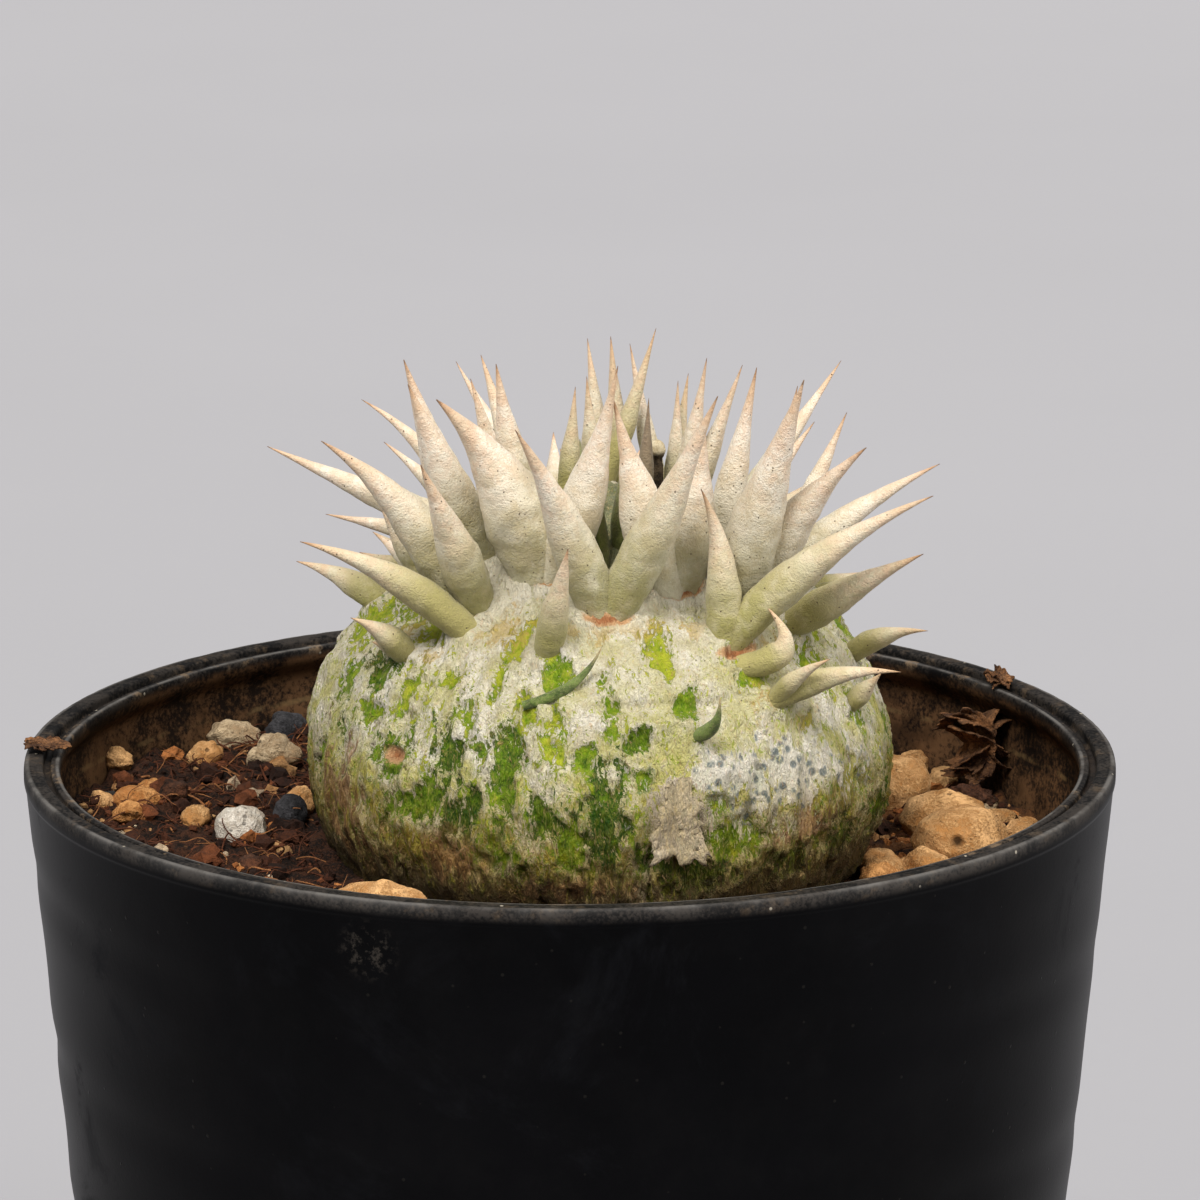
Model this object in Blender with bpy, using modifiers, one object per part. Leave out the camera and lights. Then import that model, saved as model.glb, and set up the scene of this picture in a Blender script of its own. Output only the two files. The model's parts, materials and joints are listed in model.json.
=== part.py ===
"""A small caudex plant with paired spines, growing in a round black plastic nursery pot.

Run with: blender --background --python part.py
Metres, +Z up. The origin is the centre of the pot's foot, and the plant's front faces -Y.
A heading is an angle about +Z in degrees: 0 points to -Y, 90 to +X and 180 to +Y.
"""

import math

import bmesh
import bpy
from mathutils import Vector, noise

MM = 0.001

# Every piece that rests on, or is cut by, another one keeps this gap to it.
SEAT_GAP = 0.3 * MM
WELD = 0.001 * MM

# Pot: a tapered shell with a thick grooved rim, a raised floor and drain holes.
POT_HEIGHT = 80 * MM
RIM_RADIUS = 45 * MM
FOOT_RADIUS = 37.8 * MM
WALL = 1.4 * MM
RIM_WIDTH = 3 * MM
RIM_ROUND = 0.6 * MM
LIP_HEIGHT = 1.6 * MM
LIP_STEP = 0.25 * MM
GROOVE_WIDTH = 0.6 * MM
GROOVE_DEPTH = 0.5 * MM
LEDGE_WIDTH = 0.8 * MM
LEDGE_DROP = 0.35 * MM
UNDERCUT_HEIGHT = 3 * MM
FLOOR_LIFT = 3 * MM
FLOOR = 1.6 * MM
FOOT_RING = 2.4 * MM
FOOT_ROUND = 0.8 * MM
CENTRE_DRAIN_RADIUS = 5 * MM
DRAIN_RADIUS = 3 * MM
DRAIN_CIRCLE = 24 * MM
DRAIN_COUNT = 6
POT_STEPS = 48

# Soil: fills the pot to this depth under the rim, and lies a little lower at the right.
SOIL_DEPTH = 8.2 * MM
SOIL_SLOPE = 0.045
SOIL_BUMP = 0.7 * MM
SOIL_BUMPS_PER_METRE = 170
SOIL_STEPS = 36
SOIL_RINGS = 8

# Caudex: the squat stem, with its tap root under the soil. Heights are above the soil's middle.
CAUDEX_X = 2.5 * MM
CAUDEX_RADIUS = 24 * MM
CAUDEX_HEIGHT = 30.2 * MM
ROOT_DEPTH = 36 * MM
CAUDEX_STEPS = 32
CAUDEX_LUMP = 0.5 * MM
CAUDEX_LUMPS_PER_METRE = 75
# Shares of CAUDEX_RADIUS and CAUDEX_HEIGHT down the crown and the flank, from the growing tip.
FLANK = [
    (0, 1), (0.08, 0.995), (0.19, 0.975), (0.33, 0.935), (0.48, 0.86), (0.605, 0.78), (0.72, 0.71),
    (0.82, 0.64), (0.9, 0.555), (0.96, 0.445), (1, 0.33), (1, 0.2), (0.97, 0.08), (0.89, -0.04),
]
# Shares of CAUDEX_RADIUS and ROOT_DEPTH down the tap root.
TAP_ROOT = [(0.72, -0.16), (0.5, -0.3), (0.33, -0.47), (0.21, -0.7), (0.1, -0.92), (0, -1)]

# Spines: each is a swollen cone. Shares of its length and of its largest radius, from the base.
SPINE_SHAPE = [(0, 0.8), (0.22, 1), (0.42, 0.9), (0.62, 0.55), (0.82, 0.24), (1, 0.06)]
SPINE_ROOT = 1 * MM
SPINE_SIDES_LEVEL = 1
PAIR_SPACING = 1.25

# Rings of spines round the crown: name, then (ring radius in mm, heading, spines). Each spine is
# (heading, rise in degrees, length in mm, largest radius in mm), and a hooked one adds its bow, the
# share of its length by which its middle stands off the straight line. A pair shares one base.
SPINE_RINGS = {
    "tip_spines": [
        (2.9, -110, [(60, 85, 9.2, 0.85)]),
        (6.2, 108, [(60, 88, 10.5, 0.8), (100, 82, 10.9, 0.85)]),
        (5, 180, [(100, 73, 14.1, 0.9), (-60, 86, 9.7, 0.8)]),
        (4, 62, [(60, 87, 9.1, 0.7)]),
    ],
    "inner_spines": [
        (7.6, -62, [(-88, 74, 12.6, 1.1), (-60, 80, 14.1, 1.5)]),
        (7.2, 66, [(70, 80, 14.2, 1), (80, 70, 14, 1)]),
        (8.2, 140, [(120, 70, 9.7, 1), (-120, 78, 13.2, 0.85)]),
        (8.2, 172, [(-130, 85, 13.4, 1), (-150, 76, 13.1, 1)]),
        (8.6, -132, [(-140, 62, 13.1, 1.1), (-105, 50, 7, 0.9)]),
    ],
    "upper_spines": [
        (10.9, -24, [(-62, 60, 17, 2.6, -0.08), (50, 71, 18.7, 1.42, 0.02)]),
        (11.3, -66, [(-75, 72, 17.2, 1.8), (-61, 67, 16.5, 1.9)]),
        (12.2, 29, [(-60, 74, 16.5, 1.5), (30, 78, 14.2, 2)]),
        (10.9, 64, [(70, 78, 16.2, 1.3), (80, 67, 15.2, 1.1, 0.05)]),
        (11.2, 108, [(108, 51, 11.4, 1), (128, 46, 17.5, 1)]),
        (11.2, 158, [(150, 30, 9, 1), (178, 34, 8, 1)]),
        (11.4, -158, [(-178, 34, 9, 1), (-140, 44, 15.8, 1)]),
        (11.4, -108, [(-112, 46, 14.2, 1, -0.1), (-100, 22, 18, 1.3)]),
    ],
    "middle_spines": [
        (14, 2, [(-45, 62, 18.3, 1.75, -0.04), (58, 64, 20.7, 1.75)]),
        (14.4, -47, [(-70, 50, 18.2, 1.9, -0.07), (-38, 60, 14.8, 1.8)]),
        (14.4, 52, [(46, 68, 21, 2.2), (61, 52, 17, 1.95, -0.05)]),
        (14.6, 92, [(95, 34, 16, 1.2, -0.04), (120, 62, 14.1, 1.1)]),
        (14.6, -92, [(-115, 30, 5, 0.9), (-75, 60, 7.5, 1)]),
        (14.6, 134, [(122, 28, 10, 1.2), (150, 22, 11, 1.2)]),
        (14.6, 180, [(166, 22, 12, 1.2), (-166, 22, 12, 1.2)]),
        (14.6, -136, [(-125, 34, 12.6, 1.1, -0.03), (-110, 6, 13.3, 1.1)]),
    ],
    "lower_spines": [
        (16.5, -42, [(-73, 31, 15.7, 1.35, -0.06)]),
        (17.5, -14, [(25, 67, 10.2, 1.4)]),
        (17.2, 36, [(-60, 83, 12.8, 1.35, -0.09), (78, 38, 20.3, 1.5, -0.06)]),
        (17.6, 60, [(60, 32, 14.4, 1.45, -0.02)]),
        (18, 102, [(98, 10, 4.5, 0.8), (120, 12, 5, 0.9)]),
        (18, 146, [(136, 14, 9, 1), (158, 12, 9, 1)]),
        (18, -172, [(172, 12, 9, 1), (-160, 12, 9, 1)]),
        (18, -126, [(-140, 14, 8, 1), (-116, 12, 6, 0.9)]),
        (18, -92, [(-100, 24, 7.8, 1.1, -0.06)]),
    ],
    "shoulder_spines": [
        (19.3, -55, [(-80, 20, 2.5, 0.7), (-60, 35, 6.4, 1.05, -0.05)]),
        (21.4, 41, [(60, 38, 6.9, 0.75, -0.05), (72, 17, 10.5, 0.9, -0.08)]),
        (20.9, 80, [(60, 22, 7.6, 0.9, -0.08), (84, 16, 3.5, 0.7)]),
        (22.4, 66, [(44, 44, 4.5, 0.8)]),
        (21.3, 166, [(156, 14, 5, 0.8), (178, 16, 5, 0.8)]),
        (21.3, -150, [(-160, 16, 5, 0.8), (-138, 14, 5, 0.8)]),
    ],
    "hooked_spine": [
        (20.7, -14, [(95, 41, 6.9, 0.5, 0.12)]),
        (22.2, 20, [(48, 56, 4.5, 0.55, 0.2)]),
        (19.3, 38, [(75, 74, 5.2, 1.05, 0.45)]),
    ],
}

# The dried bud at the growing tip.
BUD_RADIUS = 0.7 * MM
BUD_HEIGHT = 4.4 * MM
BUD_X = 4.6 * MM
BUD_Y = 0.6 * MM

# Granules on the soil: name, middle (x, y), half sizes (x, y, z) in mm, and turn about +Z.
GRANULES = [
    ("tan_granule_large", (32.6, 1.5), (4.3, 3.6, 3), 12),
    ("tan_granule_behind", (31.6, 10.4), (3.9, 3.2, 2.9), -25),
    ("tan_granule_far", (27.6, 18.4), (3.6, 3, 2.8), 40),
    ("tan_granule_front", (-15, -22.6), (4.2, 2.5, 2.3), -8),
    ("tan_granule_front_right", (26.4, -16.5), (3, 2.4, 2), 30),
    ("ochre_granule_left", (-36.4, 7.6), (2.1, 1.6, 1.2), 5),
    ("pale_granule_back", (-25.2, 22), (2.6, 2.2, 1.8), 15),
    ("white_pumice", (-27.2, -1.2), (2.4, 2.2, 2.1), 20),
    ("grey_stone", (-23.3, 5), (1.5, 2, 1.7), 0),
]
GRANULE_SUNK = 0.3
GRANULE_LUMP = 0.16
GRANULE_LEVEL = 2

# Bark bits: one lies on the soil, one leans on the pot's wall and one lies on the rim.
BARK_CLUMP = dict(at=(34.2, 17.6), half=(2.6, 1.7, 1.7), turn=-20)
WALL_CHIP_HEADING = 122
WALL_CHIP = dict(width=3.4 * MM, height=5 * MM, thickness=0.7 * MM, under_rim=0.9 * MM)
RIM_CHIP_HEADING = -91
RIM_CHIP = dict(width=3.2 * MM, depth=2.2 * MM, thickness=0.35 * MM)

SOIL_LEVEL = POT_HEIGHT - SOIL_DEPTH


def material(name, colour, roughness):
    made = bpy.data.materials.new(name)
    made.use_nodes = True
    shader = made.node_tree.nodes["Principled BSDF"]
    shader.inputs["Base Color"].default_value = (*colour, 1)
    shader.inputs["Roughness"].default_value = roughness
    shader.inputs["Metallic"].default_value = 0
    return made


def new_object(name, mesh, collection, finish=None):
    obj = bpy.data.objects.new(name, mesh)
    collection.objects.link(obj)
    if finish:
        obj.data.materials.append(finish)
    return obj


def evaluated_mesh(obj):
    """The object's mesh with its modifiers applied, welded and cut into flat triangles."""
    bpy.context.view_layer.update()
    graph = bpy.context.evaluated_depsgraph_get()
    mesh = bpy.data.meshes.new_from_object(obj.evaluated_get(graph))
    shape = bmesh.new()
    shape.from_mesh(mesh)
    bmesh.ops.remove_doubles(shape, verts=shape.verts, dist=WELD)
    bmesh.ops.triangulate(shape, faces=shape.faces)
    shape.to_mesh(mesh)
    shape.free()
    return mesh


def turned(name, profile, steps, collection, finish=None):
    """A profile of (radius, height) points, turned about +Z. It runs down its outer side."""
    mesh = bpy.data.meshes.new(name)
    edges = [(i, i + 1) for i in range(len(profile) - 1)]
    mesh.from_pydata([(radius, 0, height) for radius, height in profile], edges, [])
    obj = new_object(name, mesh, collection, finish)
    screw = obj.modifiers.new("Turn", "SCREW")
    screw.steps = screw.render_steps = steps
    screw.use_merge_vertices = True
    screw.merge_threshold = 1e-5
    screw.use_smooth_shade = True
    return obj


def as_mesh_object(obj, name, collection, finish):
    """A plain mesh object made from obj as its modifiers leave it. obj is removed."""
    mesh = evaluated_mesh(obj)
    bpy.data.objects.remove(obj)
    mesh.name = name
    mesh.materials.clear()
    return new_object(name, mesh, collection, finish)


def make_cutter(obj):
    obj.hide_render = True
    obj.display_type = "WIRE"
    return obj


def swollen_copy(obj, cutters):
    """A cutter with the shape of obj, swollen by the seat gap."""
    cutter = make_cutter(new_object("gap_round_" + obj.name, obj.data, cutters))
    cutter.matrix_world = obj.matrix_world
    grow = cutter.modifiers.new("Grow", "DISPLACE")
    grow.strength = SEAT_GAP
    grow.mid_level = 0
    return cutter


def boolean(obj, other, operation, solver="EXACT"):
    modifier = obj.modifiers.new(operation.title() + " " + other.name, "BOOLEAN")
    modifier.operation = operation
    modifier.solver = solver
    modifier.object = other


def bed_in(obj, gap_cutter):
    """Cuts obj clear of what it sits on. The slanted, lumpy faces here defeat the EXACT solver."""
    boolean(obj, gap_cutter, "DIFFERENCE", "MANIFOLD")


def pointing(heading, rise=0):
    """The unit vector with this heading and this rise above the horizon, in degrees."""
    across, up = math.radians(heading), math.radians(rise)
    return Vector((math.sin(across) * math.cos(up), -math.cos(across) * math.cos(up), math.sin(up)))


# Pot


def outer_radius(height):
    """The pot's outer radius at a height above its foot."""
    return FOOT_RADIUS + (RIM_RADIUS - FOOT_RADIUS) * height / POT_HEIGHT


def inner_radius(height):
    return outer_radius(height) - WALL


def pot_profile():
    top = POT_HEIGHT
    ledge = RIM_RADIUS - RIM_WIDTH
    groove = ledge + LEDGE_WIDTH
    floor_top = FLOOR_LIFT + FLOOR
    lip_foot = top - LIP_HEIGHT
    return [
        (0, floor_top),
        (inner_radius(floor_top) - FLOOR, floor_top),
        (inner_radius(floor_top), floor_top + FLOOR),
        (inner_radius(top - UNDERCUT_HEIGHT), top - UNDERCUT_HEIGHT),
        (ledge, lip_foot),
        (ledge, top - LEDGE_DROP),
        (groove, top - LEDGE_DROP),
        (groove, top - LEDGE_DROP - GROOVE_DEPTH),
        (groove + GROOVE_WIDTH, top - LEDGE_DROP - GROOVE_DEPTH),
        (groove + GROOVE_WIDTH, top),
        (RIM_RADIUS - RIM_ROUND, top),
        (RIM_RADIUS, top - RIM_ROUND),
        (RIM_RADIUS, lip_foot + LIP_STEP),
        (outer_radius(lip_foot), lip_foot),
        (outer_radius(FOOT_ROUND), FOOT_ROUND),
        (FOOT_RADIUS - FOOT_ROUND, 0),
        (FOOT_RADIUS - FOOT_RING, 0),
        (FOOT_RADIUS - FOOT_RING - FLOOR, FLOOR_LIFT),
        (0, FLOOR_LIFT),
    ]


def drain_cutter(number, radius, middle, cutters):
    length = 4 * (FLOOR_LIFT + FLOOR)
    shape = bmesh.new()
    bmesh.ops.create_cone(
        shape, cap_ends=True, segments=16, radius1=radius, radius2=radius, depth=length
    )
    mesh = bpy.data.meshes.new("drain_%d" % number)
    shape.to_mesh(mesh)
    shape.free()
    cutter = make_cutter(new_object(mesh.name, mesh, cutters))
    cutter.location = middle
    return cutter


def build_pot(parts, cutters):
    finish = material("black_plastic", (0.016, 0.016, 0.018), 0.42)
    pot = turned("pot", pot_profile(), POT_STEPS, parts, finish)
    middles = [(CENTRE_DRAIN_RADIUS, Vector())]
    middles += [
        (DRAIN_RADIUS, DRAIN_CIRCLE * pointing(360 * i / DRAIN_COUNT)) for i in range(DRAIN_COUNT)
    ]
    for number, (radius, middle) in enumerate(middles):
        boolean(pot, drain_cutter(number, radius, middle, cutters), "DIFFERENCE")
    return pot


# Caudex


def caudex_profile():
    flank = [(r * CAUDEX_RADIUS, SOIL_LEVEL + h * CAUDEX_HEIGHT) for r, h in FLANK]
    return flank + [(r * CAUDEX_RADIUS, SOIL_LEVEL + h * ROOT_DEPTH) for r, h in TAP_ROOT]


def build_caudex(parts):
    finish = material("caudex_bark", (0.55, 0.56, 0.38), 0.7)
    turned_stem = turned("caudex_turned", caudex_profile(), CAUDEX_STEPS, parts)
    caudex = as_mesh_object(turned_stem, "caudex", parts, finish)
    for vertex in caudex.data.vertices:
        outward = Vector((vertex.co.x, vertex.co.y, 0))
        lump = noise.noise(vertex.co * CAUDEX_LUMPS_PER_METRE) * CAUDEX_LUMP
        fade = min(1, outward.length / (CAUDEX_RADIUS / 2))
        vertex.co += outward.normalized() * lump * fade
        vertex.co.x += CAUDEX_X
    return caudex


def crown_point(radius, heading):
    """The point and the outward normal of the crown at this ring radius and heading."""
    points = caudex_profile()
    for (r_in, z_in), (r_out, z_out) in zip(points, points[1:]):
        if r_in <= radius <= r_out:
            share = (radius - r_in) / (r_out - r_in)
            height = z_in + share * (z_out - z_in)
            slope = math.degrees(math.atan2(r_out - r_in, z_in - z_out))
            point = Vector((CAUDEX_X, 0, height)) + pointing(heading) * radius
            return point, pointing(heading, slope)
    raise ValueError("no crown at radius %g" % radius)


# Spines


def spine_mesh(name, base, normal, spine, collection):
    """One spine as a closed mesh: a tapered curve that starts inside the crown."""
    heading, rise, length, radius = spine[:4]
    bow = spine[4] if len(spine) > 4 else 0
    length, radius = length * MM, radius * MM
    along = pointing(heading, rise)
    lifted = pointing(heading, rise + 90)
    line = [(base - normal * SPINE_ROOT, SPINE_SHAPE[0][1])]
    for share, width in SPINE_SHAPE:
        off_line = lifted * (-4 * bow * length * share * (1 - share))
        line.append((base + along * length * share + off_line, width))
    curve = bpy.data.curves.new(name, "CURVE")
    curve.dimensions = "3D"
    curve.bevel_depth = radius
    curve.bevel_resolution = SPINE_SIDES_LEVEL
    curve.use_fill_caps = True
    spline = curve.splines.new("POLY")
    spline.points.add(len(line) - 1)
    for point, (place, width) in zip(spline.points, line):
        point.co = (*place, 1)
        point.radius = width
    obj = bpy.data.objects.new(name, curve)
    collection.objects.link(obj)
    mesh = evaluated_mesh(obj)
    bpy.data.objects.remove(obj)
    mesh.shade_smooth()
    return mesh


def build_spines(parts, cutters, crown_gap):
    finish = material("spine_felt", (0.78, 0.73, 0.62), 0.65)
    for ring, rows in SPINE_RINGS.items():
        for number, (ring_radius, heading, spines) in enumerate(rows, 1):
            name = "%s_%d" % (ring, number)
            width = PAIR_SPACING * sum(s[3] for s in spines) / 2 * MM
            half_angle = math.degrees(width / (ring_radius * MM)) / 2 * (len(spines) - 1)
            meshes = []
            for side, spine in zip((-1, 1), spines):
                base, normal = crown_point(ring_radius * MM, heading + side * half_angle)
                meshes.append(spine_mesh(name, base, normal, spine, cutters))
            node = new_object(name, meshes[0], parts, finish)
            for mesh in meshes[1:]:
                partner = make_cutter(new_object(name + "_partner", mesh, cutters))
                boolean(node, partner, "UNION")
            bed_in(node, crown_gap)


def build_bud(parts, crown_gap):
    finish = material("dried_bud", (0.12, 0.09, 0.06), 0.85)
    base = SOIL_LEVEL + CAUDEX_HEIGHT
    profile = [
        (0, base + BUD_HEIGHT),
        (BUD_RADIUS * 0.6, base + BUD_HEIGHT * 0.92),
        (BUD_RADIUS, base + BUD_HEIGHT * 0.5),
        (BUD_RADIUS * 0.85, base - 2 * MM),
        (0, base - 2 * MM),
    ]
    bud = turned("growing_tip", profile, 10, parts, finish)
    bud.location = (CAUDEX_X + BUD_X, BUD_Y, 0)
    bed_in(bud, crown_gap)


# Soil and what lies on it


def soil_height(x, y):
    """The soil's surface: sloping down to the right, with low bumps."""
    bump = noise.noise(Vector((x, y, 0)) * SOIL_BUMPS_PER_METRE) * SOIL_BUMP
    return SOIL_LEVEL - SOIL_SLOPE * x + bump


def build_soil(parts, cutters, cut_by):
    finish = material("potting_soil", (0.09, 0.045, 0.025), 0.95)
    floor_top = FLOOR_LIFT + FLOOR
    bottom = floor_top + SEAT_GAP
    knee = floor_top + FLOOR + SEAT_GAP
    edge = inner_radius(SOIL_LEVEL) - SEAT_GAP
    profile = [(edge * i / SOIL_RINGS, SOIL_LEVEL) for i in range(SOIL_RINGS + 1)]
    profile += [
        (inner_radius(knee) - SEAT_GAP, knee),
        (inner_radius(bottom) - FLOOR - SEAT_GAP, bottom),
        (0, bottom),
    ]
    turned_soil = turned("soil_turned", profile, SOIL_STEPS, cutters)
    soil = as_mesh_object(turned_soil, "soil", parts, finish)
    for vertex in soil.data.vertices:
        if vertex.co.z > knee:
            vertex.co.z = soil_height(vertex.co.x, vertex.co.y)
            radius = Vector(vertex.co[:2]).length
            wall = inner_radius(vertex.co.z) - SEAT_GAP
            if radius > edge * (1 - 0.5 / SOIL_RINGS):
                vertex.co.x *= wall / radius
                vertex.co.y *= wall / radius
    for obj in cut_by:
        bed_in(soil, swollen_copy(obj, cutters))
    return soil


def granule(name, middle, half, turn, parts, finish, seed):
    """A lumpy stone, bedded in the soil by a share of its height."""
    shape = bmesh.new()
    bmesh.ops.create_icosphere(shape, subdivisions=GRANULE_LEVEL, radius=1)
    for vertex in shape.verts:
        lump = noise.noise(vertex.co * 1.3 + Vector((seed * 7.1, 0, seed)))
        vertex.co *= 1 + GRANULE_LUMP * lump
        vertex.co = Vector(c * h * MM for c, h in zip(vertex.co, half))
    mesh = bpy.data.meshes.new(name)
    shape.to_mesh(mesh)
    shape.free()
    obj = new_object(name, mesh, parts, finish)
    x, y = (c * MM for c in middle)
    obj.location = (x, y, soil_height(x, y) + half[2] * MM * (1 - 2 * GRANULE_SUNK))
    obj.rotation_euler.z = math.radians(turn)
    return obj


def build_granules(parts):
    tan = material("tan_granule", (0.55, 0.33, 0.15), 0.9)
    ochre = material("ochre_granule", (0.6, 0.28, 0.08), 0.9)
    white = material("white_pumice", (0.8, 0.77, 0.72), 0.9)
    grey = material("grey_stone", (0.1, 0.1, 0.1), 0.8)
    finishes = {"tan": tan, "pale": tan, "ochre": ochre, "white": white, "grey": grey}
    made = []
    for seed, (name, middle, half, turn) in enumerate(GRANULES):
        finish = finishes[name.split("_")[0]]
        made.append(granule(name, middle, half, turn, parts, finish, seed))
    bark = material("bark", (0.16, 0.06, 0.025), 0.9)
    clump = granule(
        "bark_clump", BARK_CLUMP["at"], BARK_CLUMP["half"], BARK_CLUMP["turn"], parts, bark, 31
    )
    return made + [clump], bark


def chip(name, size, parts, finish):
    """A thin flake: a box whose long sides are bevelled."""
    shape = bmesh.new()
    bmesh.ops.create_cube(shape, size=1)
    for vertex in shape.verts:
        vertex.co = Vector(c * s for c, s in zip(vertex.co, size))
    mesh = bpy.data.meshes.new(name)
    shape.to_mesh(mesh)
    shape.free()
    obj = new_object(name, mesh, parts, finish)
    bevel = obj.modifiers.new("Worn edge", "BEVEL")
    bevel.width = min(size) * 0.3
    bevel.segments = 1
    return obj


def build_chips(parts, finish):
    size = (WALL_CHIP["width"], WALL_CHIP["thickness"], WALL_CHIP["height"])
    wall_chip = chip("wall_chip", size, parts, finish)
    middle = POT_HEIGHT - UNDERCUT_HEIGHT - WALL_CHIP["under_rim"] - WALL_CHIP["height"] / 2
    half_width = WALL_CHIP["width"] / 2
    foot = inner_radius(middle - WALL_CHIP["height"] / 2) - SEAT_GAP
    reach = math.sqrt(foot**2 - half_width**2) - WALL_CHIP["thickness"] / 2 - SEAT_GAP / 2
    wall_chip.location = pointing(WALL_CHIP_HEADING) * reach + Vector((0, 0, middle))
    wall_chip.rotation_euler.z = math.radians(WALL_CHIP_HEADING)

    size = (RIM_CHIP["width"], RIM_CHIP["depth"], RIM_CHIP["thickness"])
    rim_chip = chip("rim_chip", size, parts, finish)
    height = POT_HEIGHT + SEAT_GAP + RIM_CHIP["thickness"] / 2
    reach = RIM_RADIUS - RIM_CHIP["depth"] / 2 - RIM_ROUND / 2
    rim_chip.location = pointing(RIM_CHIP_HEADING) * reach + Vector((0, 0, height))
    rim_chip.rotation_euler.z = math.radians(RIM_CHIP_HEADING)


def main():
    for obj in list(bpy.data.objects):
        bpy.data.objects.remove(obj)
    parts = bpy.data.collections.new("potted_pachypodium")
    cutters = bpy.data.collections.new("cutters")
    for collection in (parts, cutters):
        bpy.context.scene.collection.children.link(collection)
    build_pot(parts, cutters)
    caudex = build_caudex(parts)
    crown_gap = swollen_copy(caudex, cutters)
    build_spines(parts, cutters, crown_gap)
    build_bud(parts, crown_gap)
    granules, bark = build_granules(parts)
    build_soil(parts, cutters, [caudex, *granules])
    build_chips(parts, bark)


main()
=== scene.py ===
import itertools
import json
import math

import bmesh
import bpy
import numpy as np
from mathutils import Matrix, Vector
from mathutils.bvhtree import BVHTree

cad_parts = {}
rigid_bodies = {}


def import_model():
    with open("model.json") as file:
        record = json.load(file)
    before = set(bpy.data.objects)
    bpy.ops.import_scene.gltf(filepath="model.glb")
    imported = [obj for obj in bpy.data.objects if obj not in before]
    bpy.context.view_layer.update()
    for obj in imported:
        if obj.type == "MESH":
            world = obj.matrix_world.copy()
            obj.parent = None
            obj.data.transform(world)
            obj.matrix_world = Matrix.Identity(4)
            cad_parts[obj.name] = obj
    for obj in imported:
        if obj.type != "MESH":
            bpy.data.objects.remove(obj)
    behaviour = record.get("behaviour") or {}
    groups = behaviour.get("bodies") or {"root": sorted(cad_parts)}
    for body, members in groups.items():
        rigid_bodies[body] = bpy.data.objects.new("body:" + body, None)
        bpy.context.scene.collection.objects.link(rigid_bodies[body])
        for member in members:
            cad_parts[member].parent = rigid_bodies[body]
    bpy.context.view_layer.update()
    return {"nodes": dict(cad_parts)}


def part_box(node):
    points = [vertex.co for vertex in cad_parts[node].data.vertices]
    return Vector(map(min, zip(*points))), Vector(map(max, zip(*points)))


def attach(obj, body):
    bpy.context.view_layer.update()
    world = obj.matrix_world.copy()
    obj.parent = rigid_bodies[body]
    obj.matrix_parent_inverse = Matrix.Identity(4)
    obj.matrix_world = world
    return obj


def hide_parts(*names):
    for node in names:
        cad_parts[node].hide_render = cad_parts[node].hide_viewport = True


# A potted pachypodium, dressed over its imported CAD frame. Metres, +Z up, front towards -Y.
# A heading is an angle about +Z in degrees: 0 is the front, 90 the right and 180 the back.

for leftover in list(bpy.data.objects):
    bpy.data.objects.remove(leftover)
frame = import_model()
mm = 0.001
print("frame loaded:", len(frame["nodes"]), "nodes")

soilLow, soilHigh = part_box("soil")
stemLow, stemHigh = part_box("caudex")
rimRadius, _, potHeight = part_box("pot")[1]
stemX = (stemLow.x + stemHigh.x) / 2
soilLevel = (soilHigh.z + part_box("grey_stone")[0].z) / 2


# Numbers and fields

def paint(red, green, blue):
    # a colour on the usual 0 to 255 scale, as the shader wants it
    return tuple(
        c / 12.92 if c <= 0.04045 else ((c + 0.055) / 1.055) ** 2.4
        for c in (red / 255, green / 255, blue / 255)
    )


def heading(degrees, rise=0):
    across, up = math.radians(degrees), math.radians(rise)
    return np.array(
        (math.sin(across) * math.cos(up), -math.cos(across) * math.cos(up), math.sin(up))
    )


def lattice(cell, seed):
    mixed = cell[:, 0] * 374761393 + cell[:, 1] * 668265263 + cell[:, 2] * 1440662683
    mixed = mixed + seed * 974634777
    mixed = (mixed ^ (mixed >> 13)) * 1274126177
    return ((mixed ^ (mixed >> 16)) & 0xFFFFFF) / 0xFFFFFF


def softNoise(points, seed=0):
    # smooth noise from 0 to 1 at each point
    cell = np.floor(points).astype(np.int64)
    part = points - cell
    part = part * part * (3 - 2 * part)
    total = np.zeros(len(points))
    for corner in itertools.product((0, 1), repeat=3):
        weight = np.where(np.array(corner), part, 1 - part).prod(axis=1)
        total += weight * lattice(cell + np.array(corner), seed)
    return total


def layeredNoise(points, octaves, seed=0, gain=0.5):
    total, weight, share = np.zeros(len(points)), 0, 1
    for octave in range(octaves):
        total += share * softNoise(points * 2**octave, seed + 17 * octave)
        weight += share
        share *= gain
    return total / weight


def cellNoise(points, seed=0):
    # the distance to the nearest of some scattered spots, and that spot's own number
    cell = np.floor(points).astype(np.int64)
    nearest = np.full(len(points), 9.0)
    number = np.zeros(len(points))
    for corner in itertools.product((-1, 0, 1), repeat=3):
        near = cell + np.array(corner)
        spot = np.stack([lattice(near, seed + k) for k in range(3)], axis=1)
        gap = np.linalg.norm(points - near - spot, axis=1)
        closer = gap < nearest
        nearest = np.where(closer, gap, nearest)
        number = np.where(closer, lattice(near, seed + 3), number)
    return nearest, number


def step(value, low, high):
    # 0 below low, 1 above high, and a smooth rise between
    share = np.clip((value - low) / (high - low), 0, 1)
    return share * share * (3 - 2 * share)


# Meshes

def gridFaces(rows, columns, closed=True):
    wide = columns if closed else columns - 1
    row, column = np.meshgrid(np.arange(rows - 1), np.arange(wide), indexing="ij")
    after = (column + 1) % columns
    corners = (row * columns + column, (row + 1) * columns + column,
               (row + 1) * columns + after, row * columns + after)
    return np.stack([c.ravel() for c in corners], axis=1)


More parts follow.
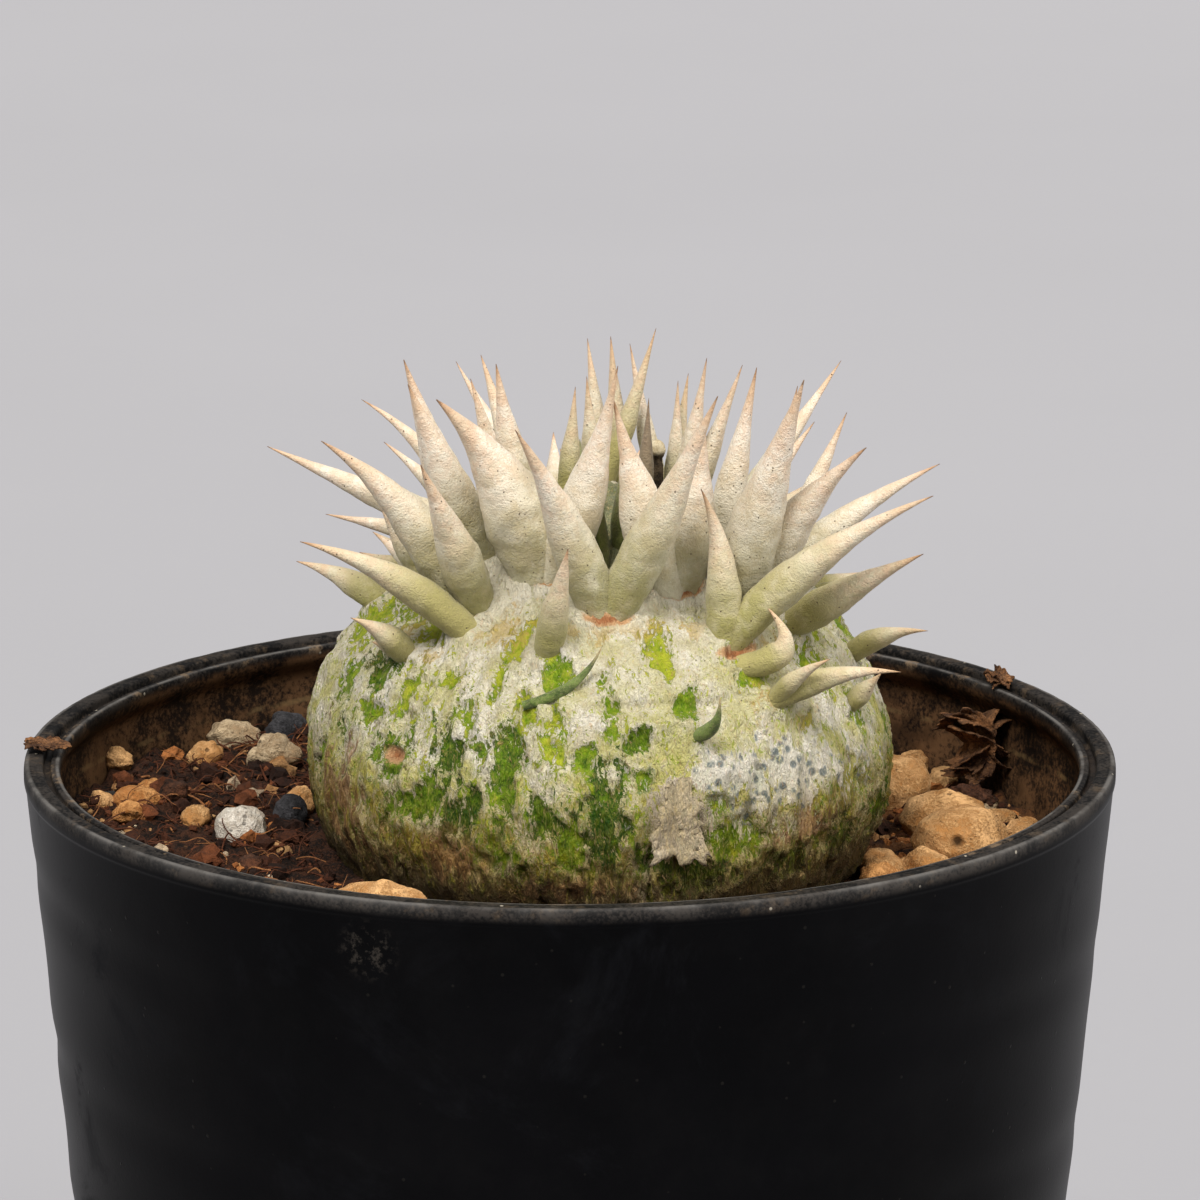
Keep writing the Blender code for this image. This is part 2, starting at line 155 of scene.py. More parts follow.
def makePiece(name, points, faces, finish, slotName, nodes=(), smooth=True, **fields):
    mesh = bpy.data.meshes.new(name)
    mesh.from_pydata(np.asarray(points).tolist(), [], [list(map(int, face)) for face in faces])
    mesh.validate()
    if smooth:
        mesh.shade_smooth()
    for label, values in fields.items():
        if np.ndim(values) == 2:
            colours = np.concatenate([values, np.ones((len(values), 1))], axis=1)
            layer = mesh.attributes.new(label, "FLOAT_COLOR", "POINT")
            layer.data.foreach_set("color", colours.astype(np.float32).ravel())
        else:
            layer = mesh.attributes.new(label, "FLOAT", "POINT")
            layer.data.foreach_set("value", np.asarray(values, np.float32))
    mesh.materials.append(finish)
    piece = bpy.data.objects.new(name, mesh)
    bpy.context.scene.collection.objects.link(piece)
    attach(piece, "root")
    if nodes:
        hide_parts(*nodes)
    return piece


def ringTurns(rows, columns):
    return np.tile(np.arange(columns) * 2 * np.pi / columns, rows)


def ringPoints(radius, turn, height):
    # points at a radius from +Z and a turn about it, with the front at 0
    sides = radius * np.sin(turn), -radius * np.cos(turn), height
    return np.stack(np.broadcast_arrays(*sides), axis=1)


def sheetGrid(rows, columns):
    v, u = np.meshgrid(np.linspace(-1, 1, rows), np.linspace(-1, 1, columns), indexing="ij")
    return u.ravel(), v.ravel()


def joined(parts):
    # pairs of points and faces as one pair, with the faces renumbered
    faces, count = [], 0
    for points, skin in parts:
        faces += [[corner + count for corner in face] for face in skin]
        count += len(points)
    return np.concatenate([points for points, _ in parts]), faces


def spun(points, angle):
    c, s = math.cos(angle), math.sin(angle)
    return points @ np.array(((c, s, 0), (-s, c, 0), (0, 0, 1)))


def thicken(piece, label, thickness):
    made = piece.modifiers.new(label, "SOLIDIFY")
    made.thickness = thickness
    made.offset = 0


def ball(level):
    shape = bmesh.new()
    bmesh.ops.create_icosphere(shape, subdivisions=level, radius=1)
    points = np.array([v.co for v in shape.verts])
    faces = [[v.index for v in f.verts] for f in shape.faces]
    shape.free()
    return points, np.array(faces)


def treeOf(node):
    mesh = frame["nodes"][node].data
    corners = [v.co for v in mesh.vertices]
    return BVHTree.FromPolygons(corners, [p.vertices for p in mesh.polygons])


def reach(tree, start, directions):
    # how far each direction runs from start to the solid's surface
    start = Vector(start)
    return np.array([(tree.ray_cast(start, Vector(d))[3] or 0) for d in directions])


# Shader helpers. Each works in the node tree that the sockets handed to it belong to.

def isSocket(value):
    return isinstance(value, bpy.types.NodeSocket)


def feed(socket, value):
    # links a socket, or sets a number, a vector or a three-part colour
    if isSocket(value):
        socket.id_data.links.new(value, socket)
    elif isinstance(value, tuple) and socket.type == "RGBA":
        socket.default_value = (*value, 1)
    else:
        socket.default_value = value


def addNode(tree, kind, inputs=None, **settings):
    node = tree.nodes.new("ShaderNode" + kind)
    for key, value in settings.items():
        setattr(node, key, value)
    for key, value in (inputs or {}).items():
        feed(node.inputs[key], value)
    return node


def sharedTree(*values):
    return next(value.id_data for value in values if isSocket(value))


def calc(operation, first, second=0.0, third=0.0):
    tree, inputs = sharedTree(first, second, third), {0: first, 1: second, 2: third}
    return addNode(tree, "Math", inputs, operation=operation).outputs[0]


def times(first, second):
    return calc("MULTIPLY", first, second)


def plus(first, second):
    return calc("ADD", first, second)


def less(first, second):
    return calc("SUBTRACT", first, second)


def timesPlus(first, second, third):
    return calc("MULTIPLY_ADD", first, second, third)


def rise(value, low, high, bottom=0.0, top=1.0):
    inputs = {"Value": value, "From Min": low, "From Max": high, "To Min": bottom, "To Max": top}
    made = addNode(value.id_data, "MapRange", inputs, interpolation_type="SMOOTHSTEP", clamp=True)
    return made.outputs["Result"]


def blend(mask, first, second, kind="MIX"):
    tree, inputs = sharedTree(mask, first, second), {0: mask, 6: first, 7: second}
    return addNode(tree, "Mix", inputs, data_type="RGBA", blend_type=kind).outputs[2]


def coats(colour, *rows):
    # each row is a mask, how thick its coat is, and a colour as a socket or as numbers up to 255
    for mask, amount, own in rows:
        thick = mask if amount is None else times(mask, amount)
        colour = blend(thick, colour, own if isSocket(own) else paint(*own))
    return colour


def noiseMask(vector, size, detail=4.0, roughness=0.6, distortion=0.0):
    # size is the width of one patch in metres
    scale = calc("DIVIDE", 1.0, size) if isSocket(size) else 1 / size
    inputs = {"Vector": vector, "Scale": scale, "Detail": detail, "Roughness": roughness,
              "Distortion": distortion}
    return addNode(vector.id_data, "TexNoise", inputs).outputs[0]


def field(tree, label, output="Fac"):
    return addNode(tree, "Attribute", attribute_name=label).outputs[output]


def place(tree):
    return addNode(tree, "TexCoord").outputs["Object"]


def newFinish(name, **fixed):
    made = bpy.data.materials.new(name)
    made.use_nodes = True
    shader = made.node_tree.nodes["Principled BSDF"]
    for key, value in fixed.items():
        shader.inputs[key.replace("_", " ")].default_value = value
    return made, made.node_tree, shader


def finishWith(shader, colour, roughness, height, depth=0.0001, strength=1.0):
    feed(shader.inputs["Base Color"], colour)
    feed(shader.inputs["Roughness"], roughness)
    inputs = {"Height": height, "Distance": depth, "Strength": strength}
    feed(shader.inputs["Normal"], addNode(shader.id_data, "Bump", inputs).outputs[0])


def newGroup(name, inputs, outputs):
    group = bpy.data.node_groups.new(name, "ShaderNodeTree")
    for label, value in inputs.items():
        kind = "NodeSocketColor" if isinstance(value, tuple) else "NodeSocketFloat"
        socket = group.interface.new_socket(label, in_out="INPUT", socket_type=kind)
        socket.default_value = (*value, 1) if isinstance(value, tuple) else value
    for label in outputs:
        kind = "NodeSocketColor" if label == "Colour" else "NodeSocketFloat"
        group.interface.new_socket(label, in_out="OUTPUT", socket_type=kind)
    start, end = group.nodes.new("NodeGroupInput"), group.nodes.new("NodeGroupOutput")
    return group, start.outputs, end.inputs


def useGroup(tree, group, **values):
    return addNode(tree, "Group", values, node_tree=group).outputs


# Shared effects

def buildMottle():
    # two tones in broad soft patches with a fine grain over them
    inputs = {"Light": (0.8, 0.8, 0.8), "Dark": (0.2, 0.2, 0.2), "Size": 0.004,
              "Grain Size": 0.0004, "Grain": 0.3}
    group, start, end = newGroup("mottle", inputs, ("Colour", "Mask", "Grain"))
    vector = place(group)
    patches = noiseMask(vector, start["Size"], 5.0)
    grain = noiseMask(vector, start["Grain Size"], 3.0, 0.7)
    mask = rise(plus(patches, times(less(grain, 0.5), start["Grain"])), 0.36, 0.64)
    feed(end["Colour"], blend(mask, start["Dark"], start["Light"]))
    feed(end["Mask"], mask)
    feed(end["Grain"], grain)
    return group


def buildSpecks():
    # small round dots, scattered: Share says how many of the cells hold one
    inputs = {"Size": 0.001, "Share": 0.4, "Width": 0.16}
    group, start, end = newGroup("specks", inputs, ("Mask",))
    cells = addNode(group, "TexVoronoi", {"Vector": place(group),
                    "Scale": calc("DIVIDE", 1.0, start["Size"])}, feature="F1").outputs
    number = addNode(group, "SeparateColor", {0: cells["Color"]}).outputs[0]
    dot = addNode(group, "MapRange", {"Value": cells["Distance"],
                  "From Min": times(start["Width"], 0.6), "From Max": start["Width"],
                  "To Min": 1.0, "To Max": 0.0}, clamp=True).outputs[0]
    feed(end["Mask"], times(dot, calc("LESS_THAN", number, start["Share"])))
    return group


def buildStrands():
    # fibres that run down from the crown, or along +Z on an upright wall
    inputs = {"Across": 0.0003, "Along": 0.004, "Twist": 0.3}
    group, start, end = newGroup("strands", inputs, ("Mask", "Height"))
    x, y, z = addNode(group, "SeparateXYZ", {0: place(group)}).outputs
    made = addNode(group, "CombineXYZ", {0: calc("DIVIDE", less(x, stemX), start["Across"]),
                   1: calc("DIVIDE", y, start["Across"]), 2: calc("DIVIDE", z, start["Along"])})
    noise = noiseMask(made.outputs[0], 1.0, 4.0, 0.65, start["Twist"])
    feed(end["Mask"], rise(noise, 0.42, 0.62))
    feed(end["Height"], noise)
    return group


def buildDust():
    # pale dust that lies thicker on faces that look up
    group, start, end = newGroup("dust", {"Amount": 0.5, "Size": 0.003}, ("Mask",))
    cloud = noiseMask(place(group), start["Size"], 6.0, 0.7)
    normal = addNode(group, "NewGeometry").outputs["Normal"]
    lying = rise(addNode(group, "SeparateXYZ", {0: normal}).outputs[2], -0.2, 0.9, 0.25, 1.0)
    feed(end["Mask"], times(times(rise(cloud, 0.42, 0.7), lying), start["Amount"]))
    return group


mottle = buildMottle()
specks = buildSpecks()
strands = buildStrands()
dust = buildDust()


def mottled(tree, light, dark, size, grainSize, grain):
    values = {"Light": light, "Dark": dark, "Size": size, "Grain Size": grainSize, "Grain": grain}
    return useGroup(tree, mottle, **values)


def specked(tree, size, share, width):
    return useGroup(tree, specks, Size=size, Share=share, Width=width)["Mask"]


def stranded(tree, across, along, twist):
    return useGroup(tree, strands, Across=across, Along=along, Twist=twist)


print("shared effects built")


# Spines, each read back from its CAD node ring by ring from the tip

spineShape = {
    # the CAD solid's rings from the tip down: where they lie, how wide the second is, and limits
    "ringShares": (1, 0.82, 0.62, 0.42, 0.22),
    "secondRing": 0.24,
    "ringEdge": 0.25 * mm,
    "tipRadius": 0.2 * mm,
    "weld": 0.002 * mm,
    "shares": (-0.16, -0.05, 0, 0.1, 0.22, 0.32, 0.42, 0.52, 0.62, 0.72, 0.82, 0.92, 1),
    "widths": (0.86, 0.88, 0.9, 1.0, 1.06, 1.03, 0.92, 0.75, 0.57, 0.4, 0.25, 0.12, 0.018),
    # spines wider or thinner than their CAD solids: the node, which of its spines, and how much
    "wider": {("lower_spines_2", 0): 0.84, ("hooked_spine_1", 0): 0.85,
              ("upper_spines_1", 1): 1.32, ("upper_spines_3", 0): 1.36},
    "closing": 0.45 * mm,  # how far each of a pair leans to the other at its foot
    "sides": 28,
    "rings": 60,
    "olive": {"hooked": 1, "lower": 0.9, "shoulder": 1, "middle": 0.5, "upper": 0.36,
              "inner": 0.5, "tip": 0.75},
    "greyBrown": ("tip_spines_4",),
    "darkGreen": ("hooked_spine_1", "hooked_spine_2"),
}


def readSpines(node):
    shape = bmesh.new()
    shape.from_mesh(node.data)
    weld = spineShape["weld"]
    bmesh.ops.remove_doubles(shape, verts=shape.verts, dist=weld)
    points = np.array([v.co for v in shape.verts])
    linked = [{e.other_vert(v).index for e in v.link_edges} for v in shape.verts]
    close = [{e.other_vert(v).index for e in v.link_edges
              if e.calc_length() < spineShape["ringEdge"]} for v in shape.verts]
    shape.free()
    seen, found = set(), []
    for start in range(len(points)):
        if start in seen:
            continue
        ring, left = {start}, [start]
        while left:
            for other in close[left.pop()] - ring:
                ring.add(other)
                left.append(other)
        seen |= ring
        middle = points[sorted(ring)].mean(axis=0)
        gaps = np.linalg.norm(points[sorted(ring)] - middle, axis=1)
        uneven = gaps.std() > 0.05 * gaps.mean() + weld
        if len(ring) < 5 or gaps.mean() > spineShape["tipRadius"] or uneven:
            continue
        middles, widths, used = [middle], [gaps.mean()], set(ring)
        while len(middles) < len(spineShape["ringShares"]):
            after = set().union(*(linked[i] for i in ring)) - used
            if len(after) != len(ring):
                break
            middle = points[sorted(after)].mean(axis=0)
            middles.append(middle)
            widths.append(np.linalg.norm(points[sorted(after)] - middle, axis=1).mean())
            used |= after
            ring = after
        if len(middles) < 3:
            continue
        shares = np.array(spineShape["ringShares"][:len(middles)])
        powers = np.stack([shares**0, shares, shares**2], axis=1)
        line = np.linalg.lstsq(powers, np.array(middles), rcond=None)[0]
        found.append({"line": line, "width": widths[1] / spineShape["secondRing"]})
    for number, spine in enumerate(found):
        spine["wider"] = spineShape["wider"].get((node.name, number), 1)
        if len(found) == 2:
            between = found[1 - number]["line"][0] - spine["line"][0]
            spine["toward"] = between / np.linalg.norm(between) * spineShape["closing"]
    return found


spinesOf = {name: readSpines(node) for name, node in sorted(frame["nodes"].items())
            if "spine" in name}
spineBases = np.array([s["line"][0] for spines in spinesOf.values() for s in spines])
spineBaseWidths = np.array([s["width"] for spines in spinesOf.values() for s in spines])


def buildSpineFelt():
    made, tree, shader = newFinish("spineFelt", Sheen_Weight=0.2, Sheen_Roughness=0.5,
                                   Specular_IOR_Level=0.25)
    vector, along, olive = place(tree), field(tree, "along"), field(tree, "olive")
    cream = mottled(tree, paint(246, 238, 224), paint(226, 211, 188), 0.0024, 0.00022, 0.5)
    soft, felt = noiseMask(vector, 0.0014), noiseMask(vector, 0.00013, 2.0)
    low = times(less(1.0, rise(along, 0.04, 0.78)), olive)
    greenish = calc("MINIMUM", times(low, rise(soft, 0.25, 0.6, 0.85, 1.3)), 0.95)
    # a pinkish tan blush in the upper half, darker towards the tip
    blush = times(rise(along, 0.25, 0.8), rise(noiseMask(vector, 0.0009, 5.0, 0.7), 0.42, 0.6))
    tip = plus(along, times(less(soft, 0.5), 0.2))
    green = blend(rise(soft, 0.35, 0.6), paint(46, 72, 14), paint(106, 128, 58))
    # dark specks, larger and finer, in drifts
    drift = rise(noiseMask(vector, 0.0026, 3.0), 0.34, 0.56, 0.35, 1.0)
    colour = coats(
        cream["Colour"],
        (greenish, None, (124, 126, 36)),
        (rise(olive, 0.4, 1.0), 0.5, (192, 180, 128)),
        (blush, 0.5, (222, 186, 158)),
        (rise(tip, 0.62, 1.0), 0.7, (212, 172, 132)),
        (rise(tip, 0.88, 1.03), 0.75, (158, 108, 68)),
        (rise(along, 0.965, 1.0), 0.7, (66, 54, 48)),
        (field(tree, "dry"), 0.85, (120, 104, 88)),
        (field(tree, "leafGreen"), rise(along, 1.0, 0.7, 0.3, 1.0), green),
        (times(specked(tree, 0.0006, 0.5, 0.15), drift), 0.95, (70, 54, 36)),
        (times(specked(tree, 0.00031, 0.4, 0.17), drift), 0.6, (126, 106, 80)),
        (rise(felt, 0.55, 0.3), 0.22, (176, 156, 122)),
    )
    height = plus(felt, times(cream["Grain"], 0.8))
    height = timesPlus(noiseMask(vector, 0.0007, 3.0), 1.6, height)
    finishWith(shader, colour, rise(felt, 0.3, 0.7, 0.6, 0.8), height, 0.00013, 0.8)
    return made


def growSpine(spine, number):
    line, width = spine["line"], spine["width"]
    sides, rings = spineShape["sides"], spineShape["rings"]
    even = np.linspace(0, 1, rings)
    share = -0.16 + 1.16 * (1 - (1 - even)**1.25)
    inside = np.minimum(share, 0)
    onLine = np.maximum(share, 0)
    middle = line[0] + np.outer(onLine, line[1]) + np.outer(onLine**2, line[2])
    middle += np.outer(inside, line[1])
    middle += np.outer(step(share, 0.45, -0.05), spine.get("toward", np.zeros(3)))
    along = line[1] + 2 * np.outer(onLine, line[2])
    along /= np.linalg.norm(along, axis=1)[:, None]
    outward = line[0] - np.array((stemX, 0, soilLevel))
    across = np.cross(along, outward / np.linalg.norm(outward) + 1e-4)
    across /= np.linalg.norm(across, axis=1)[:, None]
    lifted = np.cross(across, along)
    radius = width * np.interp(share, spineShape["shares"], spineShape["widths"])
    radius *= 1 + (spine.get("wider", 1) - 1) * step(share, 0.9, 0.4)
    radius = np.convolve(np.pad(radius, 1, mode="edge"), (0.25, 0.5, 0.25), mode="valid")
    turn = np.linspace(0, 2 * np.pi, sides, endpoint=False)
    shareOf, turnOf = np.repeat(share, sides), np.tile(turn, rings)
    ring = np.repeat(radius, sides)
    keel = 1 + 0.05 * np.cos(2 * turnOf) + 0.018 * np.sin(5 * turnOf + number) * (1 - shareOf)
    offset = (np.repeat(across, sides, axis=0) * np.cos(turnOf)[:, None]
              + np.repeat(lifted, sides, axis=0) * np.sin(turnOf)[:, None])
    points = np.repeat(middle, sides, axis=0) + offset * (ring * keel)[:, None]
    dent = layeredNoise(points / (1.3 * mm), 3, 5) - 0.5
    points += offset * (dent * 0.22 * ring)[:, None]
    tip = (line[0] + line[1] + line[2])[None]
    faces = gridFaces(rings, sides).tolist()
    last = (rings - 1) * sides
    faces += [[last + k, rings * sides, last + (k + 1) % sides] for k in range(sides)]
    return np.concatenate([points, tip]), faces, np.append(np.clip(shareOf, 0, 1), 1)


def buildSpines(finish):
    number = 0
    for name, spines in spinesOf.items():
        parts, along, olive = [], [], []
        for spine in spines:
            number += 1
            grown, skin, share = growSpine(spine, number)
            parts.append((grown, skin))
            along.append(share)
            own = spineShape["olive"][name.split("_")[0]]
            own += step(spine["line"][0][1], 0, 8 * mm) * 0.15  # greener at the back
            own += 0.3 * (lattice(np.array([[number, 3, 1]]), 4)[0] - 0.5)
            olive.append(np.full(len(share), np.clip(own, 0, 1)))
        points, faces = joined(parts)
        makePiece(name + "_grown", points, faces, finish, "spine_felt", [name],
                  along=np.concatenate(along), olive=np.concatenate(olive),
                  dry=np.full(len(points), 1.0 * (name in spineShape["greyBrown"])),
                  leafGreen=np.full(len(points), 0.95 * (name in spineShape["darkGreen"])))


# Small green leaf buds between the inner spines: heading, distance out, foot height over the
# soil, length and half-width in mm, and how far each leans out
leafBuds = [
    (1, 10, 25.2, 6.6, 0.62, 0.02), (-10, 8.2, 26.6, 7, 0.8, 0), (13, 8, 26.6, 7.4, 0.85, 0.05),
    (-34, 7, 26.8, 6, 0.8, 0.2), (38, 8.4, 26.2, 6.4, 0.9, 0.2), (84, 8, 26.4, 5.5, 0.8, 0.3),
    (-84, 8.4, 26.2, 5.6, 0.8, 0.3), (-100, 5.4, 27.6, 6, 0.8, 0.3), (118, 8.6, 26, 6, 0.9, 0.3),
    (-172, 10.4, 25.2, 6, 0.9, 0.3), (-118, 9.4, 25.8, 6, 0.8, 0.3), (-8, 4.4, 28, 6, 0.7, 0),
]


def buildLeafBuds(finish):
    parts, along = [], []
    for number, (around, out, foot, tall, width, lean) in enumerate(leafBuds):
        base = np.array((stemX, 0, soilLevel + foot * mm)) + heading(around) * out * mm
        way = (heading(around) * lean + (0, 0, 1)) * tall * mm
        line = np.array((base, way, -heading(around) * lean * 0.3 * tall * mm))
        grown, skin, share = growSpine({"line": line, "width": width * mm}, 500 + number)
        parts.append((grown, skin))
        along.append(share)
    points, faces = joined(parts)
    count = len(points)
    makePiece("leaf_buds", points, faces, finish, "spine_felt", olive=np.ones(count),
              along=np.concatenate(along) * 0.8, dry=np.zeros(count),
              leafGreen=np.full(count, 0.7))


feltFinish = buildSpineFelt()
buildSpines(feltFinish)
buildLeafBuds(feltFinish)
print("spines grown:", len(spineBases))


# Caudex: the CAD stem's own form, smoothed, with peeling bark over green skin

stemShape = {
    "columns": 560,
    "rows": 176,
    "mean": 24 * mm,
    "lumps": 0.9 * mm,
    "folds": 0.42 * mm,
    "bark": 0.28 * mm,
    "peel": 0.34 * mm,  # how deep the green skin lies under the bark
    "collar": 0.55 * mm,  # how much the stem swells round each spine's foot
}

# Bare green patches: heading, height over the soil, width and height in mm, and depth of colour
greenPatches = [
    (-57, 17.3, 3.4, 4.2, 0.75), (-70, 15, 2, 3.2, 0.6), (-65, 12, 2.4, 4, 0.8),
    (-57, 14.4, 2.4, 2.8, 0.55), (-46, 11.6, 4, 4, 0.7), (-32, 12.2, 2.4, 5.4, 0.9),
    (-27, 8.3, 4, 4.8, 1), (-38, 8.6, 5, 4.6, 0.65), (-26, 13.4, 1.5, 1.6, 0.7),
    (-19, 11, 2.6, 7, 0.75), (-30, 15.6, 2.2, 3.6, 0.4), (-24, 18, 1.2, 3, 0.3),
    (-37, 18, 1.8, 1.5, 0.4), (-16, 16.3, 1.8, 2.6, 0.25), (-11, 18.8, 2.4, 2, 0.5),
    (-10, 14, 2, 4.4, 0.3), (-10, 8, 2.7, 3.6, 0.85), (-6, 5.6, 3, 4, 0.6),
    (-3, 12.8, 2, 3.4, 0.55), (1, 8.6, 3.5, 9, 1), (2, 16.5, 1.6, 3.8, 0.45),
    (8, 14.3, 2.1, 1.8, 0.75), (8, 11.4, 2.4, 1.7, 0.6), (11, 5, 3.2, 3.4, 0.95),
    (20, 17, 1.8, 2.2, 0.55), (34, 10.8, 1.4, 2, 0.6), (27, 6, 6, 3.6, 0.55),
    (24, 9, 3.6, 2.4, 0.45), (58, 3.4, 6.5, 4.6, 0.9), (74, 4, 6, 6, 0.85),
    (49, 14, 2, 2, 0.35), (38, 19, 2.6, 4, 0.3), (66, 13.5, 2, 5, 0.4),
    (-80, 19, 5, 4, 0.3), (-75, 8, 2.5, 5, 0.6), (20, 3.6, 5, 3, 0.85), (42, 3, 5, 3, 0.75),
    (-18, 4.6, 3, 3, 0.6), (88, 9, 3, 6, 0.6), (84, 17, 3, 3, 0.4), (-63, 17.6, 3.2, 1.4, 1.3),
    (-52, 21, 3, 3, 0.2), (-66, 21.5, 4, 3.4, 0.35), (-22, 21, 2, 2.4, 0.15),
    (16, 20, 2.4, 2.6, 0.2), (58, 18, 3, 3.6, 0.3), (68, 20.5, 4, 3, 0.25),
    (-47, 16, 2.6, 4.6, 0.35), (-14, 20.4, 1.8, 3, 0.2),
]
# Dry brown bark, tan dry patches and the grey-blue freckled patch: the first four numbers alike
brownPatches = [
    (-64, 7.6, 8, 8), (-58, 3.4, 9, 5), (-30, 4.6, 8, 4), (46, 5.8, 8.5, 5), (-4, 2.6, 9, 3),
    (100, 6, 9, 7), (150, 5, 12, 6), (-110, 6, 11, 7), (-160, 5, 9, 6),
]
tanPatches = [
    (-29, 21.6, 4, 2), (6, 21.8, 5, 1.4), (47, 19.2, 3.4, 1.8), (40, 16.4, 3, 1.6),
    (-46, 19, 2, 1), (-60, 19.4, 3, 2.2), (48, 14.2, 3, 2), (-12, 21.4, 4, 0.9), (30, 21.4, 3, 1),
    (120, 20, 3, 2), (-120, 20, 4, 2), (170, 20, 4, 2),
]
frecklePatches = [(40, 10.4, 17, 5.4), (22, 11.4, 6, 3)]


def patchField(around, height, rho, patch, ragged):
    # above 0 inside the patch and below 0 outside it
    middle, level, wide, tall = patch[:4]
    gap = (around - middle + 180) % 360 - 180
    across = np.abs(np.radians(gap) * rho) / (wide * mm / 2)
    up = np.abs(height - level * mm) / (tall * mm / 2)
    return 1 - (np.minimum(across, 9)**2.4 + np.minimum(up, 9)**2.4)**(1 / 2.4) + ragged


def stemForm():
    # the CAD stem as a reach from one middle point, smoothed round and down
    steps, levels, waveCount, kernelWidth = 72, 300, 9, 25
    middle = np.array((stemX, 0, soilLevel + 6 * mm))
    down = np.linspace(0, 2.12, levels)
    turn, drop = np.meshgrid(np.radians(np.arange(steps) * 360 / steps), down)
    ways = ringPoints(np.sin(drop.ravel()), turn.ravel(), np.cos(drop.ravel()))
    found = reach(treeOf("caudex"), middle, ways).reshape(levels, steps)
    kernel = np.exp(-np.linspace(-2, 2, kernelWidth)**2)
    kernel /= kernel.sum()
    padded = np.pad(found, ((kernelWidth // 2, kernelWidth // 2), (0, 0)), mode="reflect")
    found = np.stack([np.convolve(line, kernel, mode="valid") for line in padded.T], axis=1)
    waves = np.fft.rfft(found, axis=1)
    fine = np.zeros((levels, stemShape["columns"] // 2 + 1), complex)
    fine[:, :waveCount] = waves[:, :waveCount] * stemShape["columns"] / steps
    return middle, down, np.fft.irfft(fine, stemShape["columns"], axis=1)


